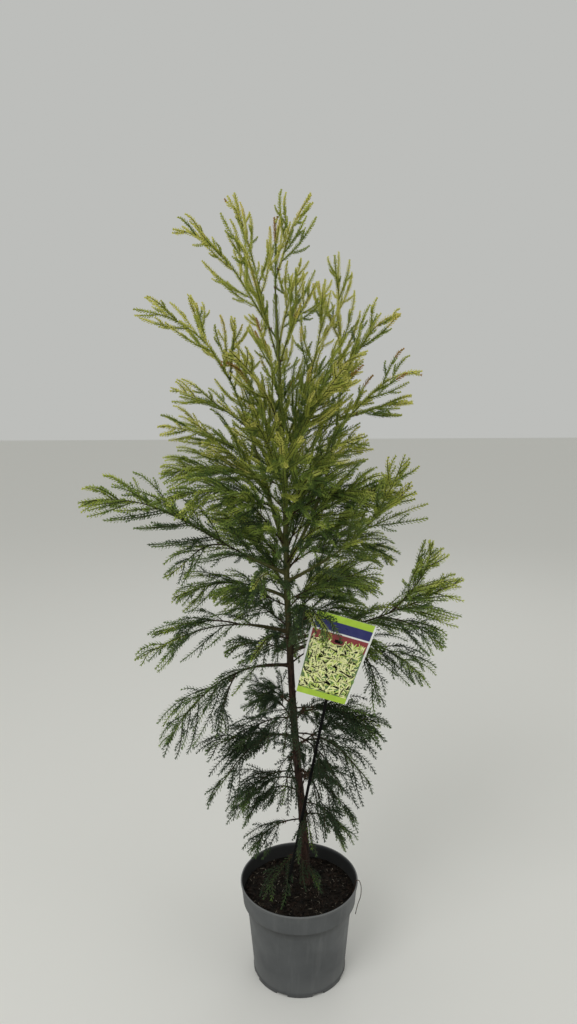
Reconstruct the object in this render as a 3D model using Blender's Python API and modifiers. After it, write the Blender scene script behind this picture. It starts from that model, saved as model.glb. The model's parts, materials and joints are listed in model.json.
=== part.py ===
"""Young golden-tipped japanese cedar in a round nursery pot, with its hanging tag on a stick.

Metres, +Z up.  The origin is the middle of the pot's flat underside.  The trunk is one whole tapering
limb, nine main boughs are bare limbs of their own, and every mass of foliage is one solid: twigs that
fork from one stem by a seeded rule, with sprays of needles fused onto them.
"""

import math
import random
from collections import namedtuple

import bpy
import numpy as np
from mathutils import Matrix, Vector
from mathutils.geometry import interpolate_bezier

# ---------------------------------------------------------------- driving sizes

GAP = 0.0003
UP = Vector((0.0, 0.0, 1.0))

# The pot's outer wall from the rim down: height, radius.
POT_HEIGHT = 0.187
POT_PROFILE = [
    (0.1870, 0.1118),
    (0.1862, 0.1127),
    (0.1828, 0.1127),
    (0.1815, 0.1114),
    (0.1500, 0.1082),
    (0.1465, 0.1060),
    (0.1430, 0.1024),
    (0.1120, 0.0978),
    (0.0085, 0.0889),
    (0.0075, 0.0899),
    (0.0000, 0.0895),
]
POT_WALL = 0.0018
POT_FLOOR = 0.0085
POT_LIP_DROP = 0.0004
POT_LIP_FOOT = 0.182
POT_SIDES = 36
NOTCH_COUNT = 8
NOTCH_WIDTH = 0.022
NOTCH_HEIGHT = 0.0045
NOTCH_DEPTH = 0.007

SOIL_TOP = 0.163
SOIL_EDGE = 0.159
SOIL_FLAT = 0.078
SOIL_CLEAR = 0.006

# The trunk's centre line and taper: height, x, y, radius.
TRUNK = [
    (SOIL_TOP + GAP, 0.012, 0.020, 0.0125),
    (0.175, 0.012, 0.020, 0.0098),
    (0.200, 0.012, 0.020, 0.0084),
    (0.260, 0.011, 0.018, 0.0077),
    (0.340, 0.004, 0.014, 0.0072),
    (0.510, -0.009, 0.010, 0.0066),
    (0.750, -0.020, 0.006, 0.0056),
    (0.950, -0.023, 0.004, 0.0043),
    (1.100, -0.030, 0.001, 0.0032),
    (1.275, -0.037, 0.000, 0.0019),
]
TRUNK_SIDES_LEVEL = 4
WAY_STEP = 0.010

BOUGH_RADIUS = 0.0036
BOUGH_TAPER = 0.55
BOUGH_STEP = 0.028
BOUGH_SIDES_LEVEL = 2

# A branch's line is a Bezier curve whose handles are these shares of its span.
RISING_HANDLE = 0.48
ENDING_HANDLE = 0.36
LINE_POINTS = 17
LINE_STEP = 0.02
STEEPEST_ACROSS = 0.2

STEM_FOOT_RADIUS = 0.0009
STEM_RADIUS = 0.0016
STEM_TIP_RADIUS = 0.0009
STEM_STEP = 0.055
LEADING_SPRAY = 0.34
SPRAY_OVERLAP = 0.03
SPRAY_STEP = 0.01

NEEDLE_REACH = 0.0052
SPRAY_CORE = 0.0017
TOOTH_LENGTH = 0.044
TOOTH_LEAN = 0.72
TWIST = math.radians(40)

SHOOT_STEP = 0.0340
SHOOT_LENGTH = 0.120
SHOOT_SPREAD = math.radians(44)
SHOOT_TURN = math.radians(137.5)
SHOOT_FLATNESS = 0.85
SHOOT_UNEVENNESS = 0.15
SHOOT_SHORTENING = 0.62
SHORTEST_SHARE = 0.45
SHOOT_POINTS = 6
FIRST_SHOOT = 0.10
LAST_SHOOT = 0.92
PAST_TIP = 0.004
SHOOT_CLEAR = 0.0012
OWN_CLEAR = 0.0005
TURNS = [math.radians(turn) for turn in (0, 50, -50, 100, -100)]
HANG_BELOW = 0.72
RISE_ABOVE = 0.95

# One row for each branch.  It springs from the trunk at a height, or from another branch at a share of
# that branch's length.  Bearing is in degrees from +X towards +Y, reach is from the pot's upright axis,
# and lift and nod are the branch's slope in degrees where it springs and where it ends.  The share of it
# that is bare is a bough of its own.  A fork on the leafy part of another branch is fused with it.
Branch = namedtuple("Branch", "parent foot bearing reach tip lift nod bare")
BRANCHES = {
    "foot_left": Branch("trunk", 0.300, 193, 0.092, 0.259, 15, -55, 0),
    "foot_front": Branch("trunk", 0.245, 229, 0.100, 0.200, -5, -45, 0),
    "foot_near": Branch("foot_front", 0.15, 303, 0.060, 0.206, -15, -60, 0),
    "foot_right": Branch("trunk", 0.310, 21, 0.084, 0.278, 10, -40, 0),
    "skirt_back": Branch("trunk", 0.360, 75, 0.150, 0.330, 15, -40, 0),
    "skirt_back_left": Branch("trunk", 0.385, 159, 0.137, 0.301, 10, -35, 0),
    "skirt_near": Branch("trunk", 0.410, 304, 0.097, 0.334, 15, -60, 0),
    "skirt_back_right": Branch("trunk", 0.450, 45, 0.190, 0.430, 20, -35, 0),
    "skirt_left": Branch("trunk", 0.475, 206, 0.181, 0.494, 20, -15, 0),
    "skirt_left_low": Branch("skirt_left", 0.22, 215, 0.191, 0.416, 0, -35, 0),
    "skirt_front_right": Branch("trunk", 0.480, 321, 0.160, 0.437, 20, -40, 0),
    "skirt_back_far": Branch("trunk", 0.500, 115, 0.200, 0.470, 20, -35, 0),
    "skirt_right": Branch("trunk", 0.520, 341, 0.153, 0.521, 25, -15, 0),
    "droop_left": Branch("trunk", 0.615, 199, 0.247, 0.506, 15, -55, 0.22),
    "droop_left_inner": Branch("droop_left", 0.36, 216, 0.168, 0.536, -20, -75, 0),
    "mid_back": Branch("trunk", 0.620, 95, 0.240, 0.580, 25, -35, 0),
    "droop_right": Branch("trunk", 0.640, 0, 0.230, 0.594, 30, -45, 0.25),
    "droop_right_inner": Branch("droop_right", 0.40, 330, 0.161, 0.582, -10, -75, 0),
    "low_right": Branch("trunk", 0.665, 350, 0.288, 0.792, 15, 30, 0.36),
    "low_right_upright": Branch("low_right", 0.56, 345, 0.236, 0.862, 45, 80, 0),
    "low_right_under": Branch("low_right", 0.50, 349, 0.260, 0.669, 0, -40, 0),
    "flat_left": Branch("trunk", 0.680, 190, 0.291, 0.651, 20, -25, 0.25),
    "flat_left_upper": Branch("flat_left", 0.30, 180, 0.263, 0.678, 15, -10, 0),
    "mid_front": Branch("trunk", 0.715, 285, 0.190, 0.735, 35, -25, 0),
    "mid_back_right": Branch("trunk", 0.700, 55, 0.260, 0.700, 30, -20, 0),
    "swept_left": Branch("trunk", 0.745, 173, 0.234, 0.738, 25, -25, 0.28),
    "back_left": Branch("trunk", 0.760, 125, 0.270, 0.850, 35, 0, 0),
    "near_right": Branch("trunk", 0.775, 324, 0.207, 1.016, 30, 70, 0.28),
    "near_right_outer": Branch("near_right", 0.55, 328, 0.215, 0.967, 45, 45, 0),
    "long_left": Branch("trunk", 0.790, 196, 0.374, 0.939, 25, -10, 0.22),
    "long_left_under": Branch("long_left", 0.30, 192, 0.235, 0.800, 15, -20, 0),
    "back_right": Branch("trunk", 0.800, 29, 0.207, 0.789, 35, -45, 0),
    "tall_right": Branch("trunk", 0.805, 0, 0.069, 1.341, 60, 88, 0.46),
    "tall_right_outer": Branch("tall_right", 0.62, 0, 0.173, 1.242, 50, 10, 0),
    "tall_right_wing": Branch("tall_right", 0.45, 0, 0.211, 1.147, 45, 0, 0),
    "tall_right_lower": Branch("tall_right_wing", 0.15, 8, 0.202, 1.091, 20, 0, 0),
    "tall_left": Branch("trunk", 0.830, 186, 0.273, 1.250, 72, 5, 0.45),
    "tall_left_upper": Branch("tall_left", 0.72, 178, 0.181, 1.270, 50, 65, 0),
    "tall_left_tuft": Branch("tall_left", 0.58, 200, 0.110, 1.235, 80, 85, 0),
    "tall_left_wing": Branch("tall_left", 0.40, 180, 0.216, 1.121, 45, 25, 0),
    "tall_left_lower": Branch("tall_left", 0.28, 169, 0.251, 1.053, 30, 5, 0),
    "back_mid": Branch("trunk", 0.840, 80, 0.260, 0.980, 45, 15, 0),
    "front_mid": Branch("trunk", 0.880, 262, 0.200, 1.050, 50, 35, 0),
    "right_mid": Branch("trunk", 0.890, 335, 0.190, 0.950, 40, 0, 0),
    "near_left": Branch("trunk", 0.900, 206, 0.240, 0.944, 30, -10, 0),
    "back_up": Branch("trunk", 0.920, 108, 0.240, 1.080, 50, 20, 0),
    "wing_left": Branch("trunk", 0.945, 171, 0.250, 0.966, 30, -10, 0),
    "front_up": Branch("trunk", 0.980, 298, 0.160, 1.160, 60, 40, 0),
    "back_up_right": Branch("trunk", 1.000, 50, 0.180, 1.160, 50, 25, 0),
    "spire_right": Branch("trunk", 1.020, 318, 0.060, 1.295, 62, 85, 0),
    "front_left_up": Branch("trunk", 1.040, 228, 0.160, 1.180, 60, 30, 0),
    "back_top": Branch("trunk", 1.090, 125, 0.140, 1.250, 60, 40, 0),
    "top_near": Branch("trunk", 1.150, 300, 0.059, 1.288, 75, 60, 0),
    "top_near_inner": Branch("top_near", 0.50, 266, 0.040, 1.309, 85, 80, 0),
    "top_mid": Branch("trunk", 1.165, 178, 0.115, 1.433, 72, 60, 0),
    "top_back": Branch("trunk", 1.180, 85, 0.085, 1.340, 70, 60, 0),
    "top_left": Branch("trunk", 1.200, 188, 0.204, 1.375, 55, 5, 0),
    "leader": Branch("trunk", 1.275, 180, 0.038, 1.398, 90, 85, 0),
    "leader_fork": Branch("leader", 0.20, 5, 0.023, 1.432, 70, 50, 0),
}

TAG_STICK_FOOT = Vector((-0.030, -0.051, SOIL_TOP))
TAG_STICK_WIDTH = 0.0052
TAG_STICK_DEPTH = 0.0028
TAG_MIDDLE = Vector((0.0585, -0.085, 0.6645))
TAG_TOP_WIDTH = 0.110
TAG_BOTTOM_WIDTH = 0.094
TAG_HEIGHT = 0.150
TAG_THICKNESS = 0.0008
TAG_CLEAR = 0.012
TAG_TURN = math.radians(17)
TAG_STICK_HEAD = Vector((0.063, TAG_MIDDLE.y + (TAG_THICKNESS + TAG_STICK_DEPTH) / 2 + GAP, 0.672))

WIRE_RADIUS = 0.0007
WIRE_BEARING = math.radians(-8)
# Distance out from the pot's axis, and height.
WIRE_ROUTE = [
    (0.1040, 0.1640),
    (0.1075, 0.1790),
    (0.1095, 0.1893),
    (0.1155, 0.1898),
    (0.1192, 0.1780),
    (0.1186, 0.1580),
    (0.1130, 0.1380),
    (0.1090, 0.1180),
]

COLOURS = {
    "pot": ((0.060, 0.064, 0.068, 1.0), 0.48),
    "soil": ((0.030, 0.018, 0.012, 1.0), 0.95),
    "trunk": ((0.085, 0.034, 0.024, 1.0), 0.85),
    "bough": ((0.070, 0.045, 0.022, 1.0), 0.85),
    "foliage_low": ((0.030, 0.075, 0.028, 1.0), 0.60),
    "foliage_middle": ((0.075, 0.150, 0.030, 1.0), 0.60),
    "foliage_high": ((0.240, 0.270, 0.045, 1.0), 0.60),
    "tag_card": ((0.420, 0.600, 0.120, 1.0), 0.35),
    "tag_stick": ((0.012, 0.012, 0.013, 1.0), 0.40),
    "rim_wire": ((0.020, 0.018, 0.016, 1.0), 0.60),
}


# ---------------------------------------------------------------- scene and objects


def clear_scene():
    for leftover in list(bpy.data.objects):
        bpy.data.objects.remove(leftover)


def collection(name):
    made = bpy.data.collections.new(name)
    bpy.context.scene.collection.children.link(made)
    return made


def material(name, finish):
    colour, roughness = COLOURS[finish]
    made = bpy.data.materials.new(name)
    made.use_nodes = True
    shader = made.node_tree.nodes["Principled BSDF"]
    shader.inputs["Base Color"].default_value = colour
    shader.inputs["Roughness"].default_value = roughness
    shader.inputs["Metallic"].default_value = 0.0
    made.diffuse_color = colour
    return made


def add_object(name, data, group, finish=None):
    made = bpy.data.objects.new(name, data)
    group.objects.link(made)
    if finish:
        data.materials.append(material(name, finish))
    return made


def tapered_tube(name, points, radii, group, finish, level):
    """A limb as a curve whose bevel follows the radii."""
    curve = bpy.data.curves.new(name, "CURVE")
    curve.dimensions = "3D"
    curve.bevel_depth = 1.0
    curve.bevel_resolution = level
    curve.use_fill_caps = True
    spline = curve.splines.new("POLY")
    spline.points.add(len(points) - 1)
    for knot, point, radius in zip(spline.points, points, radii):
        knot.co = (*point, 1.0)
        knot.radius = radius
    return add_object(name, curve, group, finish)


def turned(name, profile, group, finish):
    """A profile of (radius, height) points swept once round the Z axis."""
    mesh = bpy.data.meshes.new(name)
    rows = [(radius, 0.0, height) for radius, height in profile]
    mesh.from_pydata(rows, [(row, row + 1) for row in range(len(rows) - 1)], [])
    made = add_object(name, mesh, group, finish)
    screw = made.modifiers.new("Turn", "SCREW")
    screw.axis = "Z"
    screw.steps = POT_SIDES
    screw.render_steps = POT_SIDES
    screw.use_merge_vertices = True
    screw.merge_threshold = 0.00005
    return made


# ---------------------------------------------------------------- pot, soil, wire and tag


def pot_radius(height):
    """The outer wall's radius at a height."""
    heights = [row[0] for row in reversed(POT_PROFILE)]
    radii = [row[1] for row in reversed(POT_PROFILE)]
    return float(np.interp(height, heights, radii))


def inner_heights():
    """The heights of the inner wall's corners, from the floor up to just under the lip."""
    return [POT_FLOOR] + [height for height, _ in reversed(POT_PROFILE) if POT_FLOOR < height < POT_LIP_FOOT]


def notch_cutters(group):
    for index in range(NOTCH_COUNT):
        bearing = 2 * math.pi * (index + 0.5) / NOTCH_COUNT
        bpy.ops.mesh.primitive_cube_add(size=1.0)
        cutter = bpy.context.object
        cutter.name = f"notch_{index + 1}"
        cutter.scale = (2 * NOTCH_DEPTH, NOTCH_WIDTH, 2 * NOTCH_HEIGHT)
        cutter.rotation_euler.z = bearing
        cutter.location = (pot_radius(0) * math.cos(bearing), pot_radius(0) * math.sin(bearing), 0.0)
        cutter.hide_render = True
        cutter.display_type = "WIRE"
        for linked in list(cutter.users_collection):
            linked.objects.unlink(cutter)
        group.objects.link(cutter)


def make_pot(group, cutters):
    inner = [(pot_radius(height) - POT_WALL, height) for height in inner_heights()]
    outer = [(radius, height) for height, radius in POT_PROFILE]
    lip = [(POT_PROFILE[0][1] - POT_WALL, POT_HEIGHT - POT_LIP_DROP)]
    pot = turned("pot", [(0.0, POT_FLOOR)] + inner + lip + outer + [(0.0, 0.0)], group, "pot")
    notch_cutters(cutters)
    cut = pot.modifiers.new("Notches", "BOOLEAN")
    cut.operation = "DIFFERENCE"
    cut.operand_type = "COLLECTION"
    cut.collection = cutters
    return pot


def make_soil(group):
    floor = POT_FLOOR + GAP
    walls = [height for height in reversed(inner_heights()) if floor < height < SOIL_EDGE]
    edge = [(pot_radius(height) - POT_WALL - GAP, height) for height in [SOIL_EDGE] + walls + [floor]]
    turned("soil", [(0.0, SOIL_TOP), (SOIL_FLAT, SOIL_TOP)] + edge + [(0.0, floor)], group, "soil")


def make_rim_wire(group):
    """A thin dark wire that hooks over the rim and hangs down outside it."""
    out = Vector((math.cos(WIRE_BEARING), math.sin(WIRE_BEARING), 0.0))
    knots = [out * distance + UP * height for distance, height in WIRE_ROUTE]
    points = smooth_route(knots, 2)
    tapered_tube("rim_wire", points, [WIRE_RADIUS] * len(points), group, "rim_wire", 0)


def make_tag(group):
    """The tag is a flat card, wider at its top, and its stick stands behind it in the soil."""
    half = TAG_HEIGHT / 2
    top, bottom = TAG_TOP_WIDTH / 2, TAG_BOTTOM_WIDTH / 2
    curve = bpy.data.curves.new("tag_card", "CURVE")
    curve.dimensions = "2D"
    curve.fill_mode = "BOTH"
    curve.extrude = TAG_THICKNESS / 2
    spline = curve.splines.new("POLY")
    spline.points.add(3)
    for knot, corner in zip(spline.points, [(-top, half), (-bottom, -half), (bottom, -half), (top, half)]):
        knot.co = (*corner, 0.0, 1.0)
    spline.use_cyclic_u = True
    card = add_object("tag_card", curve, group, "tag_card")
    stand = Matrix.Rotation(math.radians(90), 4, "X")
    card.matrix_world = Matrix.Translation(TAG_MIDDLE) @ Matrix.Rotation(TAG_TURN, 4, "Y") @ stand

    bpy.ops.mesh.primitive_cube_add(size=1.0)
    stick = bpy.context.object
    stick.name = "tag_stick"
    run = (TAG_STICK_HEAD - TAG_STICK_FOOT).normalized()
    lean = run.angle(UP)
    foot = TAG_STICK_FOOT + run * (GAP + TAG_STICK_WIDTH / 2 * math.sin(lean)) / math.cos(lean)
    across = Vector((0.0, 1.0, 0.0)).cross(run).normalized()
    turn = Matrix((across, run.cross(across), run)).transposed().to_4x4()
    size = Matrix.Diagonal((TAG_STICK_WIDTH, TAG_STICK_DEPTH, (TAG_STICK_HEAD - foot).length, 1.0))
    stick.data.transform(Matrix.Translation((foot + TAG_STICK_HEAD) / 2) @ turn @ size)
    stick.data.materials.append(material("tag_stick", "tag_stick"))
    for linked in list(stick.users_collection):
        linked.objects.unlink(stick)
    group.objects.link(stick)


# ---------------------------------------------------------------- lines


def smooth_route(knots, steps):
    """A smooth line through the knots, with a number of steps between each two."""
    points = []
    for index in range(len(knots) - 1):
        before = knots[max(index - 1, 0)]
        start, end = knots[index], knots[index + 1]
        after = knots[min(index + 2, len(knots) - 1)]
        run = interpolate_bezier(start, start + (end - before) / 6, end - (after - start) / 6, end, steps + 1)
        points += run[:-1]
    return points + [knots[-1]]


def trunk_line():
    """The trunk's centre line, as points, with a radius for each."""
    centres = [Vector((x, y, height)) for height, x, y, _ in TRUNK]
    heights = [row[0] for row in TRUNK]
    radii = [row[3] for row in TRUNK]
    points = smooth_route(centres, 3)
    return points, [float(np.interp(point.z, heights, radii)) for point in points]


def at_height(points, radii, height):
    """The trunk's centre and radius at a height."""
    heights = [point.z for point in points]
    where = [float(np.interp(height, heights, [point[axis] for point in points])) for axis in range(3)]
    return Vector(where), float(np.interp(height, heights, radii))


def length_of(points):
    return sum((end - start).length for start, end in zip(points, points[1:]))


def at_share(points, share):
    """The point at a share of a line's length, and the line's direction there."""
    left = share * length_of(points)
    for start, end in zip(points, points[1:]):
        step = (end - start).length
        if left <= step or end is points[-1]:
            return start.lerp(end, min(left / step, 1.0)), (end - start).normalized()
        left -= step


def part_of(points, first, last, step):
    """The stretch of a line between two shares, with a point about every step."""
    count = max(2, round(length_of(points) * (last - first) / step))
    return [at_share(points, first + (last - first) * index / count)[0] for index in range(count + 1)]


def branch_line(foot, branch):
    bearing = math.radians(branch.bearing)
    tip = Vector((branch.reach * math.cos(bearing), branch.reach * math.sin(bearing), branch.tip))
    level = (tip - foot) * Vector((1, 1, 0))
    level = level.normalized()
    span = (tip - foot).length
    lift, nod = math.radians(branch.lift), math.radians(branch.nod)
    rising = level * math.cos(lift) + UP * math.sin(lift)
    ending = level * math.cos(nod) + UP * math.sin(nod)
    handles = foot + rising * span * RISING_HANDLE, tip - ending * span * ENDING_HANDLE
    return interpolate_bezier(foot, *handles, tip, LINE_POINTS)


def step_clear(line, parent_radius, parent_way, own_radius):
    """The share of a line at which its end cap is clear of the parent that it springs from."""
    way = (line[1] - line[0]).normalized()
    slope = abs(way.dot(parent_way))
    across = max(math.sqrt(1 - slope * slope), STEEPEST_ACROSS)
    return (parent_radius + own_radius * slope + GAP) / across / length_of(line)


# ---------------------------------------------------------------- room between the pieces


class Room:
    """The straight runs that the placed limbs, stems and sprays take up, each with its radius."""

    def __init__(self):
        self.owners = []
        self.runs = []

    def add(self, owner, points, radius):
        for start, end in zip(points, points[1:]):
            self.owners.append(owner)
            self.runs.append((*start, *end, radius))

    def clear(self, owner, points, radius, margin, own):
        """Whether a line keeps the margin to every other owner's runs, or to the owner's own ones."""
        keep = np.array([(name == owner) == own for name in self.owners])
        if not keep.any():
            return True
        runs = np.array(self.runs)[keep]
        for start, end in zip(points, points[1:]):
            apart = segment_gaps(np.array(start), np.array(end), runs[:, :3], runs[:, 3:6])
            if (apart - runs[:, 6] - radius).min() < margin:
                return False
        return True


def segment_gaps(start, end, starts, ends):
    """The least distance from one straight run to each of many."""
    own, others = end - start, ends - starts
    between = start - starts
    own_square = own @ own
    square = (others * others).sum(axis=1)
    along, across = between @ own, (between * others).sum(axis=1)
    crossed = others @ own
    spread = np.maximum(own_square * square - crossed**2, 1e-18)
    first = np.clip((crossed * across - along * square) / spread, 0, 1)
    second = np.clip((crossed * first + across) / np.maximum(square, 1e-18), 0, 1)
    first = np.clip((crossed * second - along) / max(own_square, 1e-18), 0, 1)
    gap = between + first[:, None] * own - second[:, None] * others
    return np.sqrt((gap * gap).sum(axis=1))


# ---------------------------------------------------------------- twigs and sprays


def three_sided(rings, closed_tip):
    """A closed body through triangular rings of (centre, way, radius, turn).  The last may be a point."""
    points, faces = [], []
    side = rings[0][1].orthogonal()
    for centre, way, radius, turn in rings:
        side = (side - way * side.dot(way)).normalized()
        other = way.cross(side)
        for corner in range(3):
            angle = turn + 2 * math.pi * corner / 3
            points.append(centre + (side * math.cos(angle) + other * math.sin(angle)) * radius)
    if closed_tip:
        points = points[:-2]
        points[-1] = rings[-1][0]
    faces.append((2, 1, 0))
    for ring in range(len(rings) - 1):
        low, high = 3 * ring, 3 * ring + 3
        for corner in range(3):
            after = (corner + 1) % 3
            if closed_tip and ring == len(rings) - 2:
                faces.append((low + corner, low + after, high))
            else:
                faces.append((low + corner, low + after, high + corner))
                faces.append((low + after, high + after, high + corner))
    if not closed_tip:
        last = 3 * (len(rings) - 1)
        faces.append((last, last + 1, last + 2))
    mesh = bpy.data.meshes.new("twig")
    mesh.from_pydata(points, [], faces)
    return mesh


def twig_mesh(points, foot_radius, radius, tip_radius):
    rings = []
    for index, point in enumerate(points):
        way = (points[min(index + 1, len(points) - 1)] - points[max(index - 1, 0)]).normalized()
        share = index / (len(points) - 1)
        here = foot_radius if index == 0 else radius + (tip_radius - radius) * share
        rings.append((point, way, here, 0.0))
    return three_sided(rings, False)


def spray_mesh(points):
    """A slim core with needles that lean forward as rings of three teeth, each turned from the last."""
    teeth = max(2, round(length_of(points) / TOOTH_LENGTH))
    rings = [(*at_share(points, 0.0), SPRAY_CORE, 0.0)]
    for tooth in range(teeth):
        peak, root = (tooth + TOOTH_LEAN) / teeth, (tooth + 1.0) / teeth
        reach = NEEDLE_REACH * (1.0 if tooth < teeth - 1 else 0.8)
        rings.append((*at_share(points, peak), reach, tooth * TWIST))
        rings.append((*at_share(points, root), SPRAY_CORE, tooth * TWIST + TWIST / 2))
    return three_sided(rings, True)


def shoot_line(foot, along, out, length, rise):
    """A shoot that leaves at an angle, bends forward and then rises or hangs."""
    leave = along * math.cos(SHOOT_SPREAD) + out * math.sin(SHOOT_SPREAD)
    end = foot + (leave * 2 + along + UP * rise * 3).normalized() * length
    handles = foot + leave * length * 0.4, end - (along + UP * rise) * length * 0.22
    return interpolate_bezier(foot, *handles, end, SHOOT_POINTS)


def rise_of(height):
    """How far shoots at a height turn up, or down where it is negative."""
    return float(np.interp(height, [0.25, HANG_BELOW, RISE_ABOVE], [-0.50, -0.10, 0.22]))


def shoots_along(line, first, source):
    """The shoots that stand spirally round a leafy line, as (foot, along, sideways, length)."""
    whole = length_of(line)
    begin = source.uniform(0, 2 * math.pi)
    count = max(2, round(whole * (LAST_SHOOT - first) / SHOOT_STEP))
    for index in range(count):
        share = first + (LAST_SHOOT - first) * (index + 0.45) / count
        foot, along = at_share(line, share)
        side = along.cross(UP).normalized()
        over = side.cross(along)
        turn = begin + index * SHOOT_TURN
        length = SHOOT_LENGTH * (1.10 - SHOOT_SHORTENING * share)
        length *= 1 + SHOOT_UNEVENNESS * source.uniform(-1.2, 0.8)
        length = min(length * min(1.2, SHORTEST_SHARE + 2.2 * whole), (1 - share) * whole + PAST_TIP)
        yield foot, along, (side, over, turn), length


def place_shoots(name, node, line, first, room):
    """The lines of a branch's shoots that find room."""
    source = random.Random(name)
    placed = []
    for foot, along, (side, over, turn), length in shoots_along(line, first, source):
        for extra in TURNS:
            out = side * math.cos(turn + extra) + over * math.sin(turn + extra) * SHOOT_FLATNESS
            points = shoot_line(foot, along, out, length, rise_of(foot.z))
            outer = points[2:]
            if not room.clear(node, points, NEEDLE_REACH, SHOOT_CLEAR, False):
                continue
            if not room.clear(node, outer, NEEDLE_REACH, OWN_CLEAR, True):
                continue
            room.add(node, points, NEEDLE_REACH)
            placed.append(points)
            break
    return placed


def largest_piece(mesh):
    """Drops any scrap that touches no other part of the mesh but itself."""
    group = list(range(len(mesh.vertices)))

    def root(index):
        while group[index] != index:
            group[index] = group[group[index]]
            index = group[index]
        return index

    for edge in mesh.edges:
        group[root(edge.vertices[0])] = root(edge.vertices[1])
    roots = [root(index) for index in range(len(group))]
    main = max(set(roots), key=roots.count)
    faces = [tuple(face.vertices) for face in mesh.polygons if roots[face.vertices[0]] == main]
    used = sorted({index for face in faces for index in face})
    place = {index: spot for spot, index in enumerate(used)}
    kept = bpy.data.meshes.new(mesh.name)
    kept.from_pydata([mesh.vertices[index].co for index in used], [], [[place[i] for i in f] for f in faces])
    return kept


def fuse(name, meshes, group, finish):
    """One solid from the stem and everything that springs from it."""
    helpers = collection(name + "_pieces")
    for index, mesh in enumerate(meshes[1:]):
        add_object(f"{name}_piece_{index}", mesh, helpers)
    made = add_object(name, meshes[0], group)
    union = made.modifiers.new("Fuse", "BOOLEAN")
    union.operation = "UNION"
    union.operand_type = "COLLECTION"
    union.collection = helpers
    union.solver = "MANIFOLD"
    fused = bpy.data.meshes.new_from_object(made.evaluated_get(bpy.context.evaluated_depsgraph_get()))
    made.modifiers.clear()
    made.data = largest_piece(fused)
    made.data.materials.append(material(name, finish))
    for helper in list(helpers.objects):
        bpy.data.objects.remove(helper)
    bpy.data.collections.remove(helpers)


# ---------------------------------------------------------------- the tree


def finish_at(height):
    if height < 0.62:
        return "foliage_low"
    return "foliage_middle" if height < 1.0 else "foliage_high"


def bough_radius(share):
    """A bough's radius at a share of its bare length."""
    return BOUGH_RADIUS * (1 - (1 - BOUGH_TAPER) * share)


def plan_branches(trunk, radii):
    """Each branch's node, its line, and the share of the line where its leafy stem begins."""
    plan = {}
    for name, branch in BRANCHES.items():
        if branch.parent == "trunk" and branch.foot >= trunk[-1].z:
            foot, way, node = trunk[-1] + UP * GAP, UP, name
            line = branch_line(foot, branch)
            plan[name] = (node, line, 0.0)
            continue
        if branch.parent == "trunk":
            foot, radius = at_height(trunk, radii, branch.foot)
            way = (at_height(trunk, radii, branch.foot + WAY_STEP)[0] - foot).normalized()
            node = name
        else:
            parent_node, parent_line, parent_first = plan[branch.parent]
            foot, way = at_share(parent_line, branch.foot)
            radius = bough_radius(branch.foot / max(parent_first, branch.foot))
            node = parent_node if branch.foot > parent_first else name
        line = branch_line(foot, branch)
        if node == name:
            own = BOUGH_RADIUS if branch.bare else STEM_FOOT_RADIUS
            line = part_of(line, step_clear(line, radius, way, own), 1.0, LINE_STEP)
        plan[name] = (node, line, branch.bare)
    return plan


def make_tree(group):
    trunk, radii = trunk_line()
    tapered_tube("trunk", trunk, radii, group, "trunk", TRUNK_SIDES_LEVEL)
    room = Room()
    for start, end, radius in zip(trunk, trunk[1:], radii):
        room.add("trunk", [start, end], radius)
    room.add("tag_stick", [TAG_STICK_FOOT, TAG_STICK_HEAD], TAG_STICK_WIDTH)
    lean = Vector((math.sin(TAG_TURN), 0.0, math.cos(TAG_TURN)))
    for column in (-2, -1, 0, 1, 2):
        middle = TAG_MIDDLE + Vector((lean.z, 0.0, -lean.x)) * column * TAG_TOP_WIDTH / 5
        room.add("tag_card", [middle - lean * TAG_HEIGHT / 2, middle + lean * TAG_HEIGHT / 2], TAG_CLEAR)
    rim = POT_PROFILE[0][1]
    for bearing in range(0, 180, 30):
        across = Vector((math.cos(math.radians(bearing)), math.sin(math.radians(bearing)), 0.0)) * rim
        room.add("soil", [UP * SOIL_EDGE - across, UP * SOIL_EDGE + across], SOIL_CLEAR)

    plan = plan_branches(trunk, radii)
    solids = {}
    for name, (node, line, bare) in plan.items():
        first = bare
        if bare:
            points = part_of(line, 0.0, bare, BOUGH_STEP)
            tapers = [bough_radius(index / (len(points) - 1)) for index in range(len(points))]
            tapered_tube("bough_" + name, points, tapers, group, "bough", BOUGH_SIDES_LEVEL)
            room.add("bough_" + name, points, BOUGH_RADIUS)
            first = bare + GAP / length_of(line)
        stem = part_of(line, first, 1.0 - LEADING_SPRAY, STEM_STEP)
        lead = part_of(line, 1.0 - LEADING_SPRAY - SPRAY_OVERLAP, 1.0, SPRAY_STEP)
        solids.setdefault(node, []).append(twig_mesh(stem, STEM_FOOT_RADIUS, STEM_RADIUS, STEM_TIP_RADIUS))
        solids[node].append(spray_mesh(lead))
        room.add(node, stem, STEM_RADIUS)
        room.add(node, lead, NEEDLE_REACH)
    for name, (node, line, bare) in plan.items():
        for points in place_shoots(name, node, line, bare + FIRST_SHOOT, room):
            solids[node].append(spray_mesh(points))
    for node, meshes in solids.items():
        fuse("foliage_" + node, meshes, group, finish_at(BRANCHES[node].tip))


def main():
    clear_scene()
    parts = collection("japanese_cedar")
    cutters = collection("cutters")
    make_pot(parts, cutters)
    make_soil(parts)
    make_rim_wire(parts)
    make_tag(parts)
    make_tree(parts)


main()
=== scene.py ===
"""Looks of a young golden-tipped japanese cedar in its round nursery pot.

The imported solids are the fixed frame.  Every limb gets bark with relief, every foliage mass gets twigs and
needles that grow on from the limbs by one seeded rule, and the pot, the soil, the hanging tag and the wire
over the rim are modelled at their places in the frame.  Metres, +Z up.
"""

import json
import math
import random
from collections import namedtuple

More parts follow.
